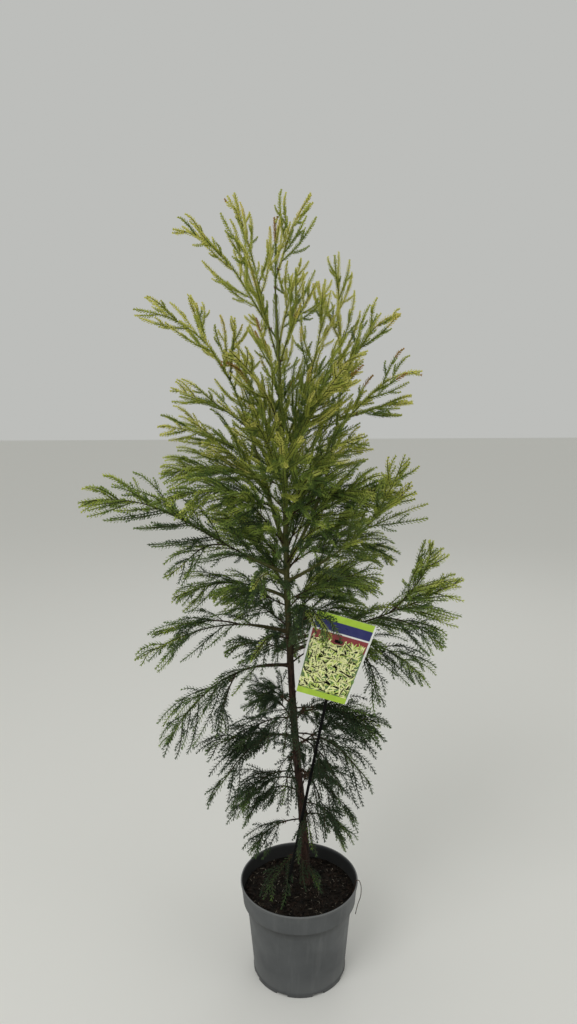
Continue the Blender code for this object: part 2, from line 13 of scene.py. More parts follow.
import bpy
import numpy as np
from bpy.props import FloatProperty, FloatVectorProperty, IntProperty, PointerProperty
from mathutils import Matrix, Vector

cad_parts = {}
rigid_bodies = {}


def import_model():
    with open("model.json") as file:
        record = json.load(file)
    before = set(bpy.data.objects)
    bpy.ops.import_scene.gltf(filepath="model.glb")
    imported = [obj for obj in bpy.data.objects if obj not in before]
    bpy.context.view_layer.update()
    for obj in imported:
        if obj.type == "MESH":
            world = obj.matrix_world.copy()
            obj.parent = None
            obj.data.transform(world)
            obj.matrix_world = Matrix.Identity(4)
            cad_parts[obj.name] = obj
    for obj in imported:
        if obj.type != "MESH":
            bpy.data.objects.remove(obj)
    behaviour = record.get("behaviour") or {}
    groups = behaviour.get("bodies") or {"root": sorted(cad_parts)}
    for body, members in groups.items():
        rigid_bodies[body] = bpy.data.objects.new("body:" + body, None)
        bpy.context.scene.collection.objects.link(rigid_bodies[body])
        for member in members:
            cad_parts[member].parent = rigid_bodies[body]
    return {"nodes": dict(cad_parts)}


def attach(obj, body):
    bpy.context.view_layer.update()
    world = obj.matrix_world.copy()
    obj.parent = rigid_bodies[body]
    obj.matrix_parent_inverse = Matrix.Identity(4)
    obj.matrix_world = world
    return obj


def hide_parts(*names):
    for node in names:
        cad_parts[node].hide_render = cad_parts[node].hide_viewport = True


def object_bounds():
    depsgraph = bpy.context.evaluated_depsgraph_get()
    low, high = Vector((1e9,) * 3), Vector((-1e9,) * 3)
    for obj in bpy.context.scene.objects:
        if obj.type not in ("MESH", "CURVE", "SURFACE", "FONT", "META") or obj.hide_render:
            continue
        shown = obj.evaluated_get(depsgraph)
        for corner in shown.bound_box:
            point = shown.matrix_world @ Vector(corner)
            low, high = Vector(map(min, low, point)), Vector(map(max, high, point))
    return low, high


bl_info = {
    "name": "Potted japanese cedar",
    "version": (1, 0, 0),
    "blender": (4, 5, 0),
    "location": "3D View > Sidebar > Cedar",
    "description": "Bark, needles, pot, soil and tag of a young japanese cedar",
    "category": "Add Mesh",
}

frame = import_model()
CAD_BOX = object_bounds()
BODY = "root"

# -------- how the tree grows

# The trunk's centre line and taper: height, x, y, radius.
TRUNK = [
    (0.1633, 0.012, 0.020, 0.0125),
    (0.175, 0.012, 0.020, 0.0098),
    (0.200, 0.012, 0.020, 0.0084),
    (0.260, 0.011, 0.018, 0.0077),
    (0.340, 0.004, 0.014, 0.0072),
    (0.510, -0.009, 0.010, 0.0066),
    (0.750, -0.020, 0.006, 0.0056),
    (0.950, -0.023, 0.004, 0.0043),
    (1.100, -0.030, 0.001, 0.0032),
    (1.275, -0.037, 0.000, 0.0019),
]

# A branch's curve: where its two handles stand, as shares of its span, and its number of points.
RISING_HANDLE = 0.48
ENDING_HANDLE = 0.36
LINE_POINTS = 17

BOUGH_RADIUS = 0.0036
BOUGH_TAPER = 0.55
STEM_RADIUS = 0.0016
STEM_TIP_RADIUS = 0.0006

# Shoots along a branch.  Each is shorter the further out it stands and the shorter its branch is, and
# none reaches further past the branch's tip than PAST_TIP.
SHOOT_STEP = 0.0340
SHOOT_LENGTH = 0.120
SHOOT_SPREAD = math.radians(44)
SHOOT_TURN = math.radians(137.5)
SHOOT_FLATNESS = 0.85
SHOOT_UNEVENNESS = 0.15
SHOOT_CHANCE = (-1.2, 0.8)
SHOOT_FOOT_LENGTH = 1.10
SHOOT_SHORTENING = 0.62
SHORTEST_SHARE = 0.45
LONGEST_SHARE = 1.2
SHARE_PER_METRE = 2.2
SHOOT_PLACE = 0.45
FIRST_SHOOT = 0.10
LAST_SHOOT = 0.92
NO_SHOOT_PAST = 0.96
FREE_SHARE = 0.92
PAST_TIP = 0.004

# A shoot's curve: how far it leaves sideways and turns up or down before its end, where its handles stand,
# as shares of its length, and its number of points.
SHOOT_LEAVE = 2
SHOOT_RISE = 3
SHOOT_HANDLES = (0.4, 0.22)
SHOOT_POINTS = 6
SHOOT_NOD = 0.30
# Height, and how far shoots turn up there, or down where it is negative.
HANG_BELOW = 0.72
RISE_AT = [(0.25, -0.50), (HANG_BELOW, -0.28), (0.95, -0.06), (1.20, 0.05)]

# One row for each branch.  It springs from the trunk at a height, or from another branch at a share of
# that branch's length.  Bearing is in degrees from +X towards +Y, reach is from the pot's upright axis,
# and lift and nod are the branch's slope in degrees where it springs and where it ends.  A share of it
# is bare.
Branch = namedtuple("Branch", "parent foot bearing reach tip lift nod bare")
BRANCH_ROWS = [
    ("foot_left", "trunk", 0.300, 193, 0.092, 0.259, 15, -55, 0),
    ("foot_front", "trunk", 0.245, 229, 0.100, 0.200, -5, -45, 0),
    ("foot_near", "foot_front", 0.15, 303, 0.060, 0.206, -15, -60, 0),
    ("foot_right", "trunk", 0.310, 21, 0.084, 0.278, 10, -40, 0),
    ("skirt_back", "trunk", 0.360, 75, 0.150, 0.330, 15, -40, 0),
    ("skirt_back_left", "trunk", 0.385, 159, 0.137, 0.301, 10, -35, 0),
    ("skirt_near", "trunk", 0.410, 304, 0.097, 0.334, 15, -60, 0),
    ("skirt_back_right", "trunk", 0.450, 45, 0.190, 0.430, 20, -35, 0),
    ("skirt_left", "trunk", 0.475, 206, 0.181, 0.494, 20, -15, 0),
    ("skirt_left_low", "skirt_left", 0.22, 215, 0.191, 0.416, 0, -35, 0),
    ("skirt_front_right", "trunk", 0.480, 321, 0.160, 0.437, 20, -40, 0),
    ("skirt_back_far", "trunk", 0.500, 115, 0.200, 0.470, 20, -35, 0),
    ("skirt_right", "trunk", 0.520, 341, 0.153, 0.521, 25, -15, 0),
    ("droop_left", "trunk", 0.615, 199, 0.247, 0.506, 15, -55, 0.22),
    ("droop_left_inner", "droop_left", 0.36, 216, 0.168, 0.536, -20, -75, 0),
    ("mid_back", "trunk", 0.620, 95, 0.240, 0.580, 25, -35, 0),
    ("droop_right", "trunk", 0.640, 0, 0.230, 0.594, 30, -45, 0.25),
    ("droop_right_inner", "droop_right", 0.40, 330, 0.161, 0.582, -10, -75, 0),
    ("low_right", "trunk", 0.665, 350, 0.288, 0.792, 15, 30, 0.36),
    ("low_right_upright", "low_right", 0.56, 345, 0.236, 0.862, 45, 80, 0),
    ("low_right_under", "low_right", 0.50, 349, 0.260, 0.669, 0, -40, 0),
    ("flat_left", "trunk", 0.680, 190, 0.291, 0.651, 20, -25, 0.25),
    ("flat_left_upper", "flat_left", 0.30, 180, 0.263, 0.678, 15, -10, 0),
    ("mid_front", "trunk", 0.715, 285, 0.190, 0.735, 35, -25, 0),
    ("mid_back_right", "trunk", 0.700, 55, 0.260, 0.700, 30, -20, 0),
    ("swept_left", "trunk", 0.745, 173, 0.234, 0.738, 25, -25, 0.28),
    ("back_left", "trunk", 0.760, 125, 0.270, 0.850, 35, 0, 0),
    ("near_right", "trunk", 0.775, 324, 0.207, 1.016, 30, 70, 0.28),
    ("near_right_outer", "near_right", 0.55, 328, 0.215, 0.967, 45, 45, 0),
    ("long_left", "trunk", 0.790, 196, 0.374, 0.939, 25, -10, 0.22),
    ("long_left_under", "long_left", 0.30, 192, 0.235, 0.800, 15, -20, 0),
    ("back_right", "trunk", 0.800, 29, 0.207, 0.789, 35, -45, 0),
    ("tall_right", "trunk", 0.805, 0, 0.069, 1.341, 60, 88, 0.46),
    ("tall_right_outer", "tall_right", 0.62, 0, 0.173, 1.242, 50, 10, 0),
    ("tall_right_wing", "tall_right", 0.45, 0, 0.211, 1.147, 45, 0, 0),
    ("tall_right_lower", "tall_right_wing", 0.15, 8, 0.202, 1.091, 20, 0, 0),
    ("tall_left", "trunk", 0.830, 186, 0.273, 1.250, 72, 5, 0.45),
    ("tall_left_upper", "tall_left", 0.72, 178, 0.181, 1.270, 50, 65, 0),
    ("tall_left_tuft", "tall_left", 0.58, 200, 0.110, 1.235, 80, 85, 0),
    ("tall_left_wing", "tall_left", 0.40, 180, 0.216, 1.121, 45, 25, 0),
    ("tall_left_lower", "tall_left", 0.28, 169, 0.251, 1.053, 30, 5, 0),
    ("back_mid", "trunk", 0.840, 80, 0.260, 0.980, 45, 15, 0),
    ("front_mid", "trunk", 0.880, 262, 0.200, 1.050, 50, 35, 0),
    ("right_mid", "trunk", 0.890, 335, 0.190, 0.950, 40, 0, 0),
    ("near_left", "trunk", 0.900, 206, 0.240, 0.944, 30, -10, 0),
    ("back_up", "trunk", 0.920, 108, 0.240, 1.080, 50, 20, 0),
    ("wing_left", "trunk", 0.945, 171, 0.250, 0.966, 30, -10, 0),
    ("front_up", "trunk", 0.980, 298, 0.160, 1.160, 60, 40, 0),
    ("back_up_right", "trunk", 1.000, 50, 0.180, 1.160, 50, 25, 0),
    ("spire_right", "trunk", 1.020, 318, 0.060, 1.295, 62, 85, 0),
    ("front_left_up", "trunk", 1.040, 228, 0.160, 1.180, 60, 30, 0),
    ("back_top", "trunk", 1.090, 125, 0.140, 1.250, 60, 40, 0),
    ("top_near", "trunk", 1.150, 300, 0.059, 1.288, 75, 60, 0),
    ("top_near_inner", "top_near", 0.50, 266, 0.040, 1.309, 85, 80, 0),
    ("top_mid", "trunk", 1.165, 178, 0.115, 1.433, 72, 60, 0),
    ("top_back", "trunk", 1.180, 85, 0.085, 1.340, 70, 60, 0),
    ("top_left", "trunk", 1.200, 188, 0.204, 1.375, 55, 5, 0),
    ("leader", "trunk", 1.275, 180, 0.038, 1.398, 90, 85, 0),
    ("leader_fork", "leader", 0.20, 5, 0.023, 1.432, 70, 50, 0),
]
BRANCHES = {name: Branch(*row) for name, *row in BRANCH_ROWS}

# -------- pot, wire, tag and camera

# The pot's outer wall from the rim down: height, radius.
POT_PROFILE = [
    (0.187, 0.1118), (0.1862, 0.1127), (0.1828, 0.1127), (0.1815, 0.1114), (0.15, 0.1082),
    (0.1465, 0.106), (0.143, 0.1024), (0.112, 0.0978), (0.0085, 0.0889), (0.0075, 0.0899),
    (0.0, 0.0895),
]
# The collar's outer wall: the (height, radius) of its top and of its foot.
COLLAR_WALL = POT_PROFILE[3:5]
POT_WALL = 0.0018
POT_FLOOR = 0.0085
NOTCH_COUNT = 8
NOTCH_WIDTH = 0.022
NOTCH_HEIGHT = 0.0045
NOTCH_DEPTH = 0.007
DRAIN_REACH = 0.064
DRAIN_RADIUS = 0.0055
# The pot's finer shell, (radius, height) ring by ring: over the lip, round the collar's lower edge, and
# round the foot ring and over the underside.
LIP_RINGS = [
    (0.1100, 0.1855), (0.1104, 0.1866), (0.1111, 0.1870), (0.1119, 0.1870), (0.1125, 0.1867),
    (0.1127, 0.1860), (0.1127, 0.1834), (0.1125, 0.1826), (0.1119, 0.1820), (0.1114, 0.1814),
]
COLLAR_RINGS = [
    (0.1083, 0.1495), (0.1082, 0.1478), (0.1074, 0.1465), (0.1050, 0.1454), (0.1029, 0.1442),
    (0.1023, 0.1420),
]
FOOT_RINGS = [
    (0.0889, 0.0090), (0.0891, 0.0083), (0.0897, 0.0078), (0.0899, 0.0070), (0.0895, 0.0006),
    (0.0889, 0.0), (0.0868, 0.0), (0.0862, 0.0006), (0.0858, 0.0038), (0.0850, 0.0042),
    (0.060, 0.0042), (0.030, 0.0042), (0.004, 0.0042),
]
INSIDE_HEIGHTS = [0.020, 0.060, 0.112, 0.143, 0.1465, 0.150]
SOIL_TOP = 0.163
SOIL_EDGE = 0.159
SOIL_FLAT = 0.078

WIRE_RADIUS = 0.0007
WIRE_STEPS = 6
WIRE_BEARING = math.radians(-8)
# Distance out from the pot's axis, and height.
WIRE_ROUTE = [
    (0.1040, 0.1640), (0.1075, 0.1790), (0.1095, 0.1893), (0.1155, 0.1898), (0.1192, 0.1780),
    (0.1186, 0.1580), (0.1130, 0.1380), (0.1090, 0.1180),
]

TAG_STICK_FOOT = Vector((-0.030, -0.051, SOIL_TOP))
TAG_STICK_WIDTH = 0.0052
TAG_STICK_DEPTH = 0.0028
TAG_MIDDLE = Vector((0.0585, -0.085, 0.6645))
TAG_TOP_WIDTH = 0.110
TAG_BOTTOM_WIDTH = 0.094
TAG_HEIGHT = 0.150
TAG_THICKNESS = 0.0008
TAG_TURN = math.radians(17)
TAG_STICK_HEAD = Vector((0.063, TAG_MIDDLE.y + (TAG_THICKNESS + TAG_STICK_DEPTH) / 2 + 0.0003, 0.672))
# The card's own directions: across it, out of its back, and up it.
TAG_AXES = np.array(
    [
        (math.cos(TAG_TURN), 0.0, -math.sin(TAG_TURN)),
        (0.0, 1.0, 0.0),
        (math.sin(TAG_TURN), 0.0, math.cos(TAG_TURN)),
    ]
)

CAMERA_PLACE = (-0.0170, -1.335, 1.147)
CAMERA_PITCH = 10.33
CAMERA_ROLL = -0.3


# -------- sizes of what the looks add

# A whole turn in radians, as far as a random one needs it.
TURN = 6.28
UP = Vector((0.0, 0.0, 1.0))
LEVEL = Vector((1.0, 1.0, 0.0))
GAP = 0.0003
STEM_FOOT_RADIUS = 0.0009
WAY_STEP = 0.010
LINE_STEP = 0.02
STEM_STEP = 0.012
STEEPEST_ACROSS = 0.2
# A line whose direction lies this little across the upright, or this much along it, counts as upright.
NEARLY_UPRIGHT = 0.05
STEEP = 0.8
# Steps between two rows of the trunk's line, for what grows on it and for its bark.
TRUNK_STEPS = 3
BARK_STEPS = 8
# How far the leader's foot reaches down into the trunk's top.
LEADER_SUNK = 0.004

# Shoots between the seeded ones: how far round they stand from those, how long they are beside them, and
# how long the ones on a bare bough are.
BETWEEN_TURN = math.radians(68)
BETWEEN_LENGTH = 0.94
BOUGH_SHOOTS = 0.70
# The share of a bare bough's length that stays free of shoots.
BOUGH_FREE = 0.3
# Low on the tree the further shoots are longer, reach further past the branch's tip and hang less.
LOW_LENGTH = 1.08
HANGING_SHARE = 1.45
LOW_HANG = 0.55
# Branches that stand toward the front: the slope forward from which they count and over which it grows,
# the height up to which they do and over which it fades, how much further their shoots hang and how much
# darker they are, and from which share on they get how many further sets of shoots.
FRONT_SLOPE = (0.25, 0.5)
FRONT_TOP = (1.12, 0.15)
FRONT_HANG = 0.40
FRONT_TONE = 0.20
FRONT_FROM = 0.6
FRONT_SETS = 1
# Further sets of shoots: the height of a branch's tip and the sets below it, and the branches that have
# another number of them.
SETS_BELOW = [(0.62, 3), (0.74, 4), (0.98, 5), (1.12, 2), (9.0, 1)]
SETS_OF = {
    "droop_left": 2,
    "droop_left_inner": 2,
    "flat_left": 1,
    "flat_left_upper": 2,
    "foot_front": 1,
    "foot_near": 1,
    "skirt_left": 2,
    "long_left": 3,
    "long_left_under": 2,
    "near_right": 2,
    "near_right_outer": 1,
}

# Room that lines of growth leave: how far they may pass the solids' box, and how far they stay from the
# soil, from the pot's rim inside, outside and above it, and from the tag across it, up it and out of it.
PAST_BOX = 0.003
SOIL_ROOM = 0.005
RIM_INSIDE = 0.098
RIM_OUTSIDE = 0.125
RIM_ABOVE = 0.196
TAG_ROOM = (0.059, 0.079, 0.007)

# Twigs along a shoot, like the shoots along a branch.
TWIG_SPREAD = math.radians(40)
TWIG_TURN_CHANCE = 0.3
TWIG_FLATNESS = 0.50
TWIG_SHARE = 0.36
TWIG_FOOT_LENGTH = 1.12
TWIG_SHORTENING = 0.80
TWIG_LENGTHS = (0.8, 1.15)
TWIG_FREE = 0.94
FIRST_TWIG = 0.10
LAST_TWIG = 0.64
SHORTEST_TWIG = 0.014
TWIG_LEAVE = 2.2
TWIG_RISE = 0.35
TWIG_HANDLES = (0.4, 0.25)
TWIG_POINTS = 5

# Wood radii of a shoot and of a twig, at the foot and at the tip.
SHOOT_WOOD = (0.00100, 0.00050)
TWIG_WOOD = (0.00070, 0.00040)

# Branches inside the crown that fill it between the main ones, group by group: their number, the heights
# that they spring from, their reach and how far their tips rise, each at the lowest and at the highest
# branch of the group, and the slope in degrees where they spring and where they end.
InnerGroup = namedtuple("InnerGroup", "name count foot reach rise lift nod")
INNER_GROUPS = [
    InnerGroup("inner_skirt", 16, (0.33, 0.56), (0.110, 0.145), (-0.055, -0.030), 15, -42),
    InnerGroup("inner_middle", 13, (0.62, 0.77), (0.140, 0.160), (0.000, 0.050), 30, -28),
    InnerGroup("inner_crown", 20, (0.78, 1.04), (0.175, 0.120), (0.090, 0.160), 48, 12),
]
INNER_SEED = 41
INNER_TURN = 137.5
# How far an inner branch's foot, reach and bearing stray, and the turns tried where something is in its way.
INNER_FOOT_CHANCE = 0.008
INNER_REACHES = (0.82, 1.12)
INNER_BEARING_CHANCE = 14
INNER_TRIES = (0, 30, -30, 60)
# Sprouts straight from the trunk: the heights between which they stand, and their number.
SPROUTS = (0.68, 1.12, 28)
SPROUT_SEED = 9
SPROUT_LENGTH = 0.062
SPROUT_LENGTHS = (0.55, 1.15)
SPROUT_RISE = -0.12
# Short needles on the trunk's green top: between which heights, how thinly and of which kind, how far two
# stretches overlap, and how far from the trunk's middle the needles stand.
LEADER_NEEDLES = [(0.90, 1.02, 2.4, "green"), (1.02, 1.15, 1.3, "moss"), (1.15, 1.275, 0.8, "moss")]
LEADER_SEED = 5
LEADER_OVERLAP = 0.03
LEADER_WOOD = 0.005

# Needles stand in five ranks, one of each rank at every tier.  Where along a needle its two shoulders
# stand, how far its back bulges, as a share of its width, how far a tier is drawn out along the twig, and
# how long the needles of a twig are beside those of a shoot.
SHOULDERS = (0.22, 0.72)
BULGE = 0.40
RANKS = 5
NEEDLE_TURN = math.radians(144.9)
TIER_SPREAD = 0.30
TWIG_NEEDLE = 0.80
# Height, needle length, lean in degrees, width, and the step from tier to tier.
NEEDLES_AT = [
    (0.20, 0.0092, 44, 0.0017, 0.0060),
    (0.60, 0.0092, 44, 0.0017, 0.0060),
    (0.85, 0.0088, 43, 0.0018, 0.0058),
    (1.05, 0.0073, 36, 0.0023, 0.0047),
    (1.45, 0.0062, 30, 0.0025, 0.0038),
]
# How far needles stray: along the twig, as a share of a tier's step, round it and in their lean, in
# radians, and in length and width.  The first tier stands at a share of a step.
FIRST_TIER = 0.2
NEEDLE_PLACE_CHANCE = 0.04
NEEDLE_TURN_CHANCE = 0.12
NEEDLE_LEAN_CHANCE = 0.08
NEEDLE_LENGTHS = (0.82, 1.12)
NEEDLE_WIDTHS = (0.85, 1.15)
# Over a twig's last stretch the needles lean less and are shorter: the share at the very tip, and what is
# added to it by the start of the stretch.
TIP_STRETCH = 0.015
TIP_LEAN = (0.25, 0.75)
TIP_SIZE = (0.55, 0.45)
# The share of a line from which its needles are of the tip's kind.
TIP_KIND_FROM = 0.66
# Brown needles at the foot of a leafy branch: from which share, up to which share on bare boughs and high
# branches and on the others, and how thinly.
DEAD_FROM = 0.06
DEAD_TO_HIGH = 0.10
DEAD_TO_LOW = 0.30
DEAD_THIN = 3.2
NEEDLES_PER_PIECE = 48000
# Height, and the step from twig to twig along a shoot.
TWIG_STEPS_AT = [(0.20, 0.0340), (0.60, 0.0320), (0.80, 0.0280), (1.08, 0.0260), (1.25, 0.0440)]

# The heights between which the bark of trunk and boughs turns green.
GREEN_FROM = (0.60, 0.94)

# The foliage kinds from dark to light, each a plain colour.
KINDS = ["deep", "dark", "green", "moss", "fresh", "lime"]
RARE_KINDS = ["gold", "bronze", "dead"]
# Height and tone: 0 is the darkest kind and 1 the lightest.
TONE_AT = [
    (0.20, 0.30),
    (0.30, 0.12),
    (0.45, 0.12),
    (0.65, 0.32),
    (0.85, 0.58),
    (1.05, 0.70),
    (1.30, 0.78),
    (1.43, 0.82),
]
# How much lighter the tree is from its middle outward, partly older inner needles and partly painted shade on
# the crown's inside, and how far branches and twigs stray from that.
OUTWARD_TONE = 0.34
TONE_CHANCE = 0.10
TWIG_TONE_CHANCE = 0.03
# How much lighter the tips of branches, shoots and twigs are.
STEM_TIP_TONE = 0.06
SHOOT_TIP_TONE = 0.12
TWIG_TIP_TONE = 0.11
# Branches that are lighter or darker than others at their height.
TONE_OF = {
    "foot_front": -0.02,
    "foot_near": -0.08,
    "foot_left": -0.02,
    "long_left": -0.13,
    "long_left_under": -0.15,
    "sprout": -0.12,
    "near_right": -0.06,
    "near_right_outer": -0.02,
    "low_right": 0.10,
    "low_right_upright": 0.12,
    "droop_left": 0.08,
    "flat_left": 0.06,
    "tall_left": -0.06,
    "tall_right": -0.05,
}
# Bronze and golden shoots: the height from which they stand, how many of the shoots are so, and the share
# of a shoot from which its twigs are so too.
BRONZE_FROM = 1.08
BRONZE_CHANCE = 0.06
GOLD_FROM = 1.14
GOLD_CHANCE = 0.15
SPECIAL_FROM = 0.55

# The bands of the tree, each up to a height.
BANDS = [("low", 0.62), ("middle", 1.00), ("high", 9.0)]
# Under the crown the needles are greener: what is left there of their red.
RED_OF = {"low": 0.90, "middle": 0.90, "high": 0.99}


# -------- what a user may change


def colour_of(name, default, text):
    return FloatVectorProperty(
        name=name, description=text, subtype="COLOR", size=4, min=0, max=1, default=default
    )


def length_of_unit(name, default, text):
    return FloatProperty(
        name=name, description=text, subtype="DISTANCE", unit="LENGTH", default=default, min=0.0
    )


def factor_of(name, text, low, high):
    return FloatProperty(name=name, description=text, subtype="FACTOR", default=1.0, min=low, max=high)


def power_of(name, default, text):
    return FloatProperty(name=name, description=text, subtype="POWER", default=default)


def number_of(name, default, text, low, high):
    return IntProperty(name=name, description=text, default=default, min=low, max=high)


class FoliageSettings(bpy.types.PropertyGroup):
    """Sizes and colours of the shoots and needles."""

    shoot_seed: number_of("Between seed", 7, "Seed of the shoots between the main ones", 0, 9999)
    twig_thin: factor_of("Twig spacing", "Distance between twigs as a factor", 0.3, 4.0)
    needle_scale: factor_of("Needle size", "Length of every needle as a factor", 0.2, 3.0)
    needle_width: factor_of("Needle width", "Width of every needle as a factor", 0.2, 3.0)
    deep: colour_of("Deep green", (0.033, 0.051, 0.024, 1), "Shaded inner needles low on the tree")
    dark: colour_of("Dark green", (0.064, 0.096, 0.036, 1), "Low needles")
    green: colour_of("Green", (0.132, 0.190, 0.044, 1), "Needles half way up")
    moss: colour_of("Moss green", (0.246, 0.302, 0.058, 1), "Needles of the upper half")
    fresh: colour_of("Fresh green", (0.392, 0.424, 0.076, 1), "Outer sprays in the light")
    lime: colour_of("Lime", (0.600, 0.582, 0.140, 1), "Tips of the upper sprays")
    gold: colour_of("Gold", (0.600, 0.520, 0.120, 1), "The golden tufts near the top")
    bronze: colour_of("Bronze", (0.370, 0.210, 0.050, 1), "Bronzed shoot tips")
    dead: colour_of("Dead needles", (0.110, 0.050, 0.026, 1), "Brown needles left on the inner wood")


class LimbSettings(bpy.types.PropertyGroup):
    """Sizes and colours of the trunk's and the boughs' bark."""

    bark_relief: length_of_unit("Bark relief", 0.0011, "Height of the bark's ridges on the trunk")
    root_flare: length_of_unit("Root flare", 0.0022, "How far the root ridges stand out at the soil")
    bark_dark: colour_of("Bark, dark", (0.010, 0.008, 0.006, 1), "Furrows in the bark")
    bark_red: colour_of("Bark, red", (0.050, 0.025, 0.018, 1), "Ridges of the bark")
    bark_grey: colour_of("Bark, grey", (0.075, 0.062, 0.050, 1), "Weathered flakes")
    stem_green: colour_of("Green stem", (0.150, 0.165, 0.050, 1), "Young green stems near the top")
    twig_brown: colour_of("Brown twig", (0.060, 0.040, 0.022, 1), "Woody inner twigs")


class PotSettings(bpy.types.PropertyGroup):
    """Sizes and colours of the pot, the soil and the wire."""

    sides: number_of("Pot sides", 144, "Faces round the pot", 36, 360)
    pot_grey: colour_of("Pot grey", (0.088, 0.094, 0.098, 1), "The pot's plastic")
    # This colour is dust on the body and also a painted highlight along the top of the lip.
    pot_pale: colour_of("Pot, scuffed", (0.170, 0.175, 0.175, 1), "Dust and highlit edges")
    # Painted shade: this colour darkens the wall inside the rim above the soil, the underside of the collar
    # and the foot.
    pot_shade: colour_of("Pot, inside", (0.020, 0.020, 0.019, 1), "The damp wall above the soil")
    soil_dark: colour_of("Soil", (0.008, 0.007, 0.005, 1), "Damp compost")
    soil_brown: colour_of("Soil, brown", (0.026, 0.017, 0.011, 1), "Drier compost")
    chip_red: colour_of("Bark chips", (0.040, 0.023, 0.015, 1), "Bark chips in the compost")
    chips: number_of("Chips", 900, "Number of bark chips on the soil", 1, 4000)
    flecks: number_of("Flecks", 190, "Number of pale flecks on the soil", 1, 2000)
    wire: colour_of("Wire", (0.045, 0.034, 0.026, 1), "The wire over the rim")


class TagSettings(bpy.types.PropertyGroup):
    """Colours of the hanging tag and its stick."""

    lime: colour_of("Lime", (0.400, 0.600, 0.040, 1), "Top and bottom band")
    navy: colour_of("Navy", (0.012, 0.016, 0.125, 1), "Second band")
    maroon: colour_of("Maroon", (0.250, 0.030, 0.034, 1), "Third band")
    ground: colour_of("Ground", (0.110, 0.190, 0.060, 1), "Ground of the leaf pattern")
    white: colour_of("White", (0.780, 0.790, 0.760, 1), "The card itself")
    leaf_dark: colour_of("Leaf, dark", (0.190, 0.340, 0.080, 1), "Dark leaves of the pattern")
    leaf_light: colour_of("Leaf, light", (0.620, 0.740, 0.180, 1), "Light leaves of the pattern")
    leaf_pale: colour_of("Leaf, pale", (0.900, 0.920, 0.440, 1), "Pale leaves of the pattern")
    stick: colour_of("Stick", (0.003, 0.003, 0.003, 1), "The black stick")


class StageSettings(bpy.types.PropertyGroup):
    """The floor, the light and the camera."""

    floor: colour_of("Floor", (0.840, 0.835, 0.800, 1), "The pale floor")
    sky: colour_of("Surroundings", (0.508, 0.514, 0.497, 1), "The plain light all round")
    sky_strength: factor_of("Surround strength", "Strength of the light all round", 0.0, 10.0)
    key_power: power_of("Key power", 32.0, "Power of the key light")
    fill_power: power_of("Fill power", 7.0, "Power of the two other lights")
    lens: FloatProperty(name="Lens", description="Focal length", subtype="DISTANCE_CAMERA", default=27.04)


class CedarSettings(bpy.types.PropertyGroup):
    """All that a user may change, in groups."""

    foliage: PointerProperty(type=FoliageSettings, name="Foliage", description="Shoots and needles")
    limbs: PointerProperty(type=LimbSettings, name="Limbs", description="Trunk, boughs and twigs")
    pot: PointerProperty(type=PotSettings, name="Pot", description="Pot, soil and wire")
    tag: PointerProperty(type=TagSettings, name="Tag", description="Tag and stick")
    stage: PointerProperty(type=StageSettings, name="Stage", description="Floor, light and camera")


# -------- small helpers


def deselect_all():
    if bpy.context.object and bpy.context.object.mode != "OBJECT":
        bpy.ops.object.mode_set(mode="OBJECT")
    bpy.ops.object.select_all(action="DESELECT")


def take(piece):
    """Makes a piece the only selected and the active one."""
    deselect_all()
    piece.select_set(True)
    bpy.context.view_layer.objects.active = piece


def apply_modifiers(piece):
    take(piece)
    for modifier in list(piece.modifiers):
        bpy.ops.object.modifier_apply(modifier=modifier.name)


def apply_place(piece):
    take(piece)
    bpy.ops.object.transform_apply(location=True, rotation=True, scale=True)


def smooth(piece, degrees):
    take(piece)
    bpy.ops.object.shade_smooth_by_angle(angle=math.radians(degrees))


def face_outwards(piece):
    take(piece)
    bpy.ops.object.mode_set(mode="EDIT")
    bpy.ops.mesh.select_all(action="SELECT")
    bpy.ops.mesh.remove_doubles(threshold=0.000005)
    bpy.ops.mesh.normals_make_consistent(inside=False)
    bpy.ops.object.mode_set(mode="OBJECT")


def into_frame(piece, slot, *nodes):
    """Hangs a finished piece on the frame, in the place of the nodes that it stands for."""
    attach(piece, BODY)
    if nodes:
        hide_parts(*nodes)
    return piece


def mesh_piece(name, points, faces, material, flat=True):
    """A joined mesh from arrays of corners and triangles."""
    points = np.ascontiguousarray(points, dtype=np.float32)
    faces = np.ascontiguousarray(faces, dtype=np.int32)
    mesh = bpy.data.meshes.new(name)
    mesh.vertices.add(len(points))
    mesh.vertices.foreach_set("co", points.ravel())
    mesh.loops.add(faces.size)
    mesh.loops.foreach_set("vertex_index", faces.ravel())
    mesh.polygons.add(len(faces))
    mesh.polygons.foreach_set("loop_start", np.arange(0, faces.size, 3, dtype=np.int32))
    mesh.polygons.foreach_set("loop_total", np.full(len(faces), 3, dtype=np.int32))
    mesh.polygons.foreach_set("use_smooth", np.full(len(faces), not flat))
    mesh.update(calc_edges=True)
    mesh.validate()
    mesh.materials.append(material)
    piece = bpy.data.objects.new(name, mesh)
    bpy.context.scene.collection.objects.link(piece)
    return piece


# -------- materials


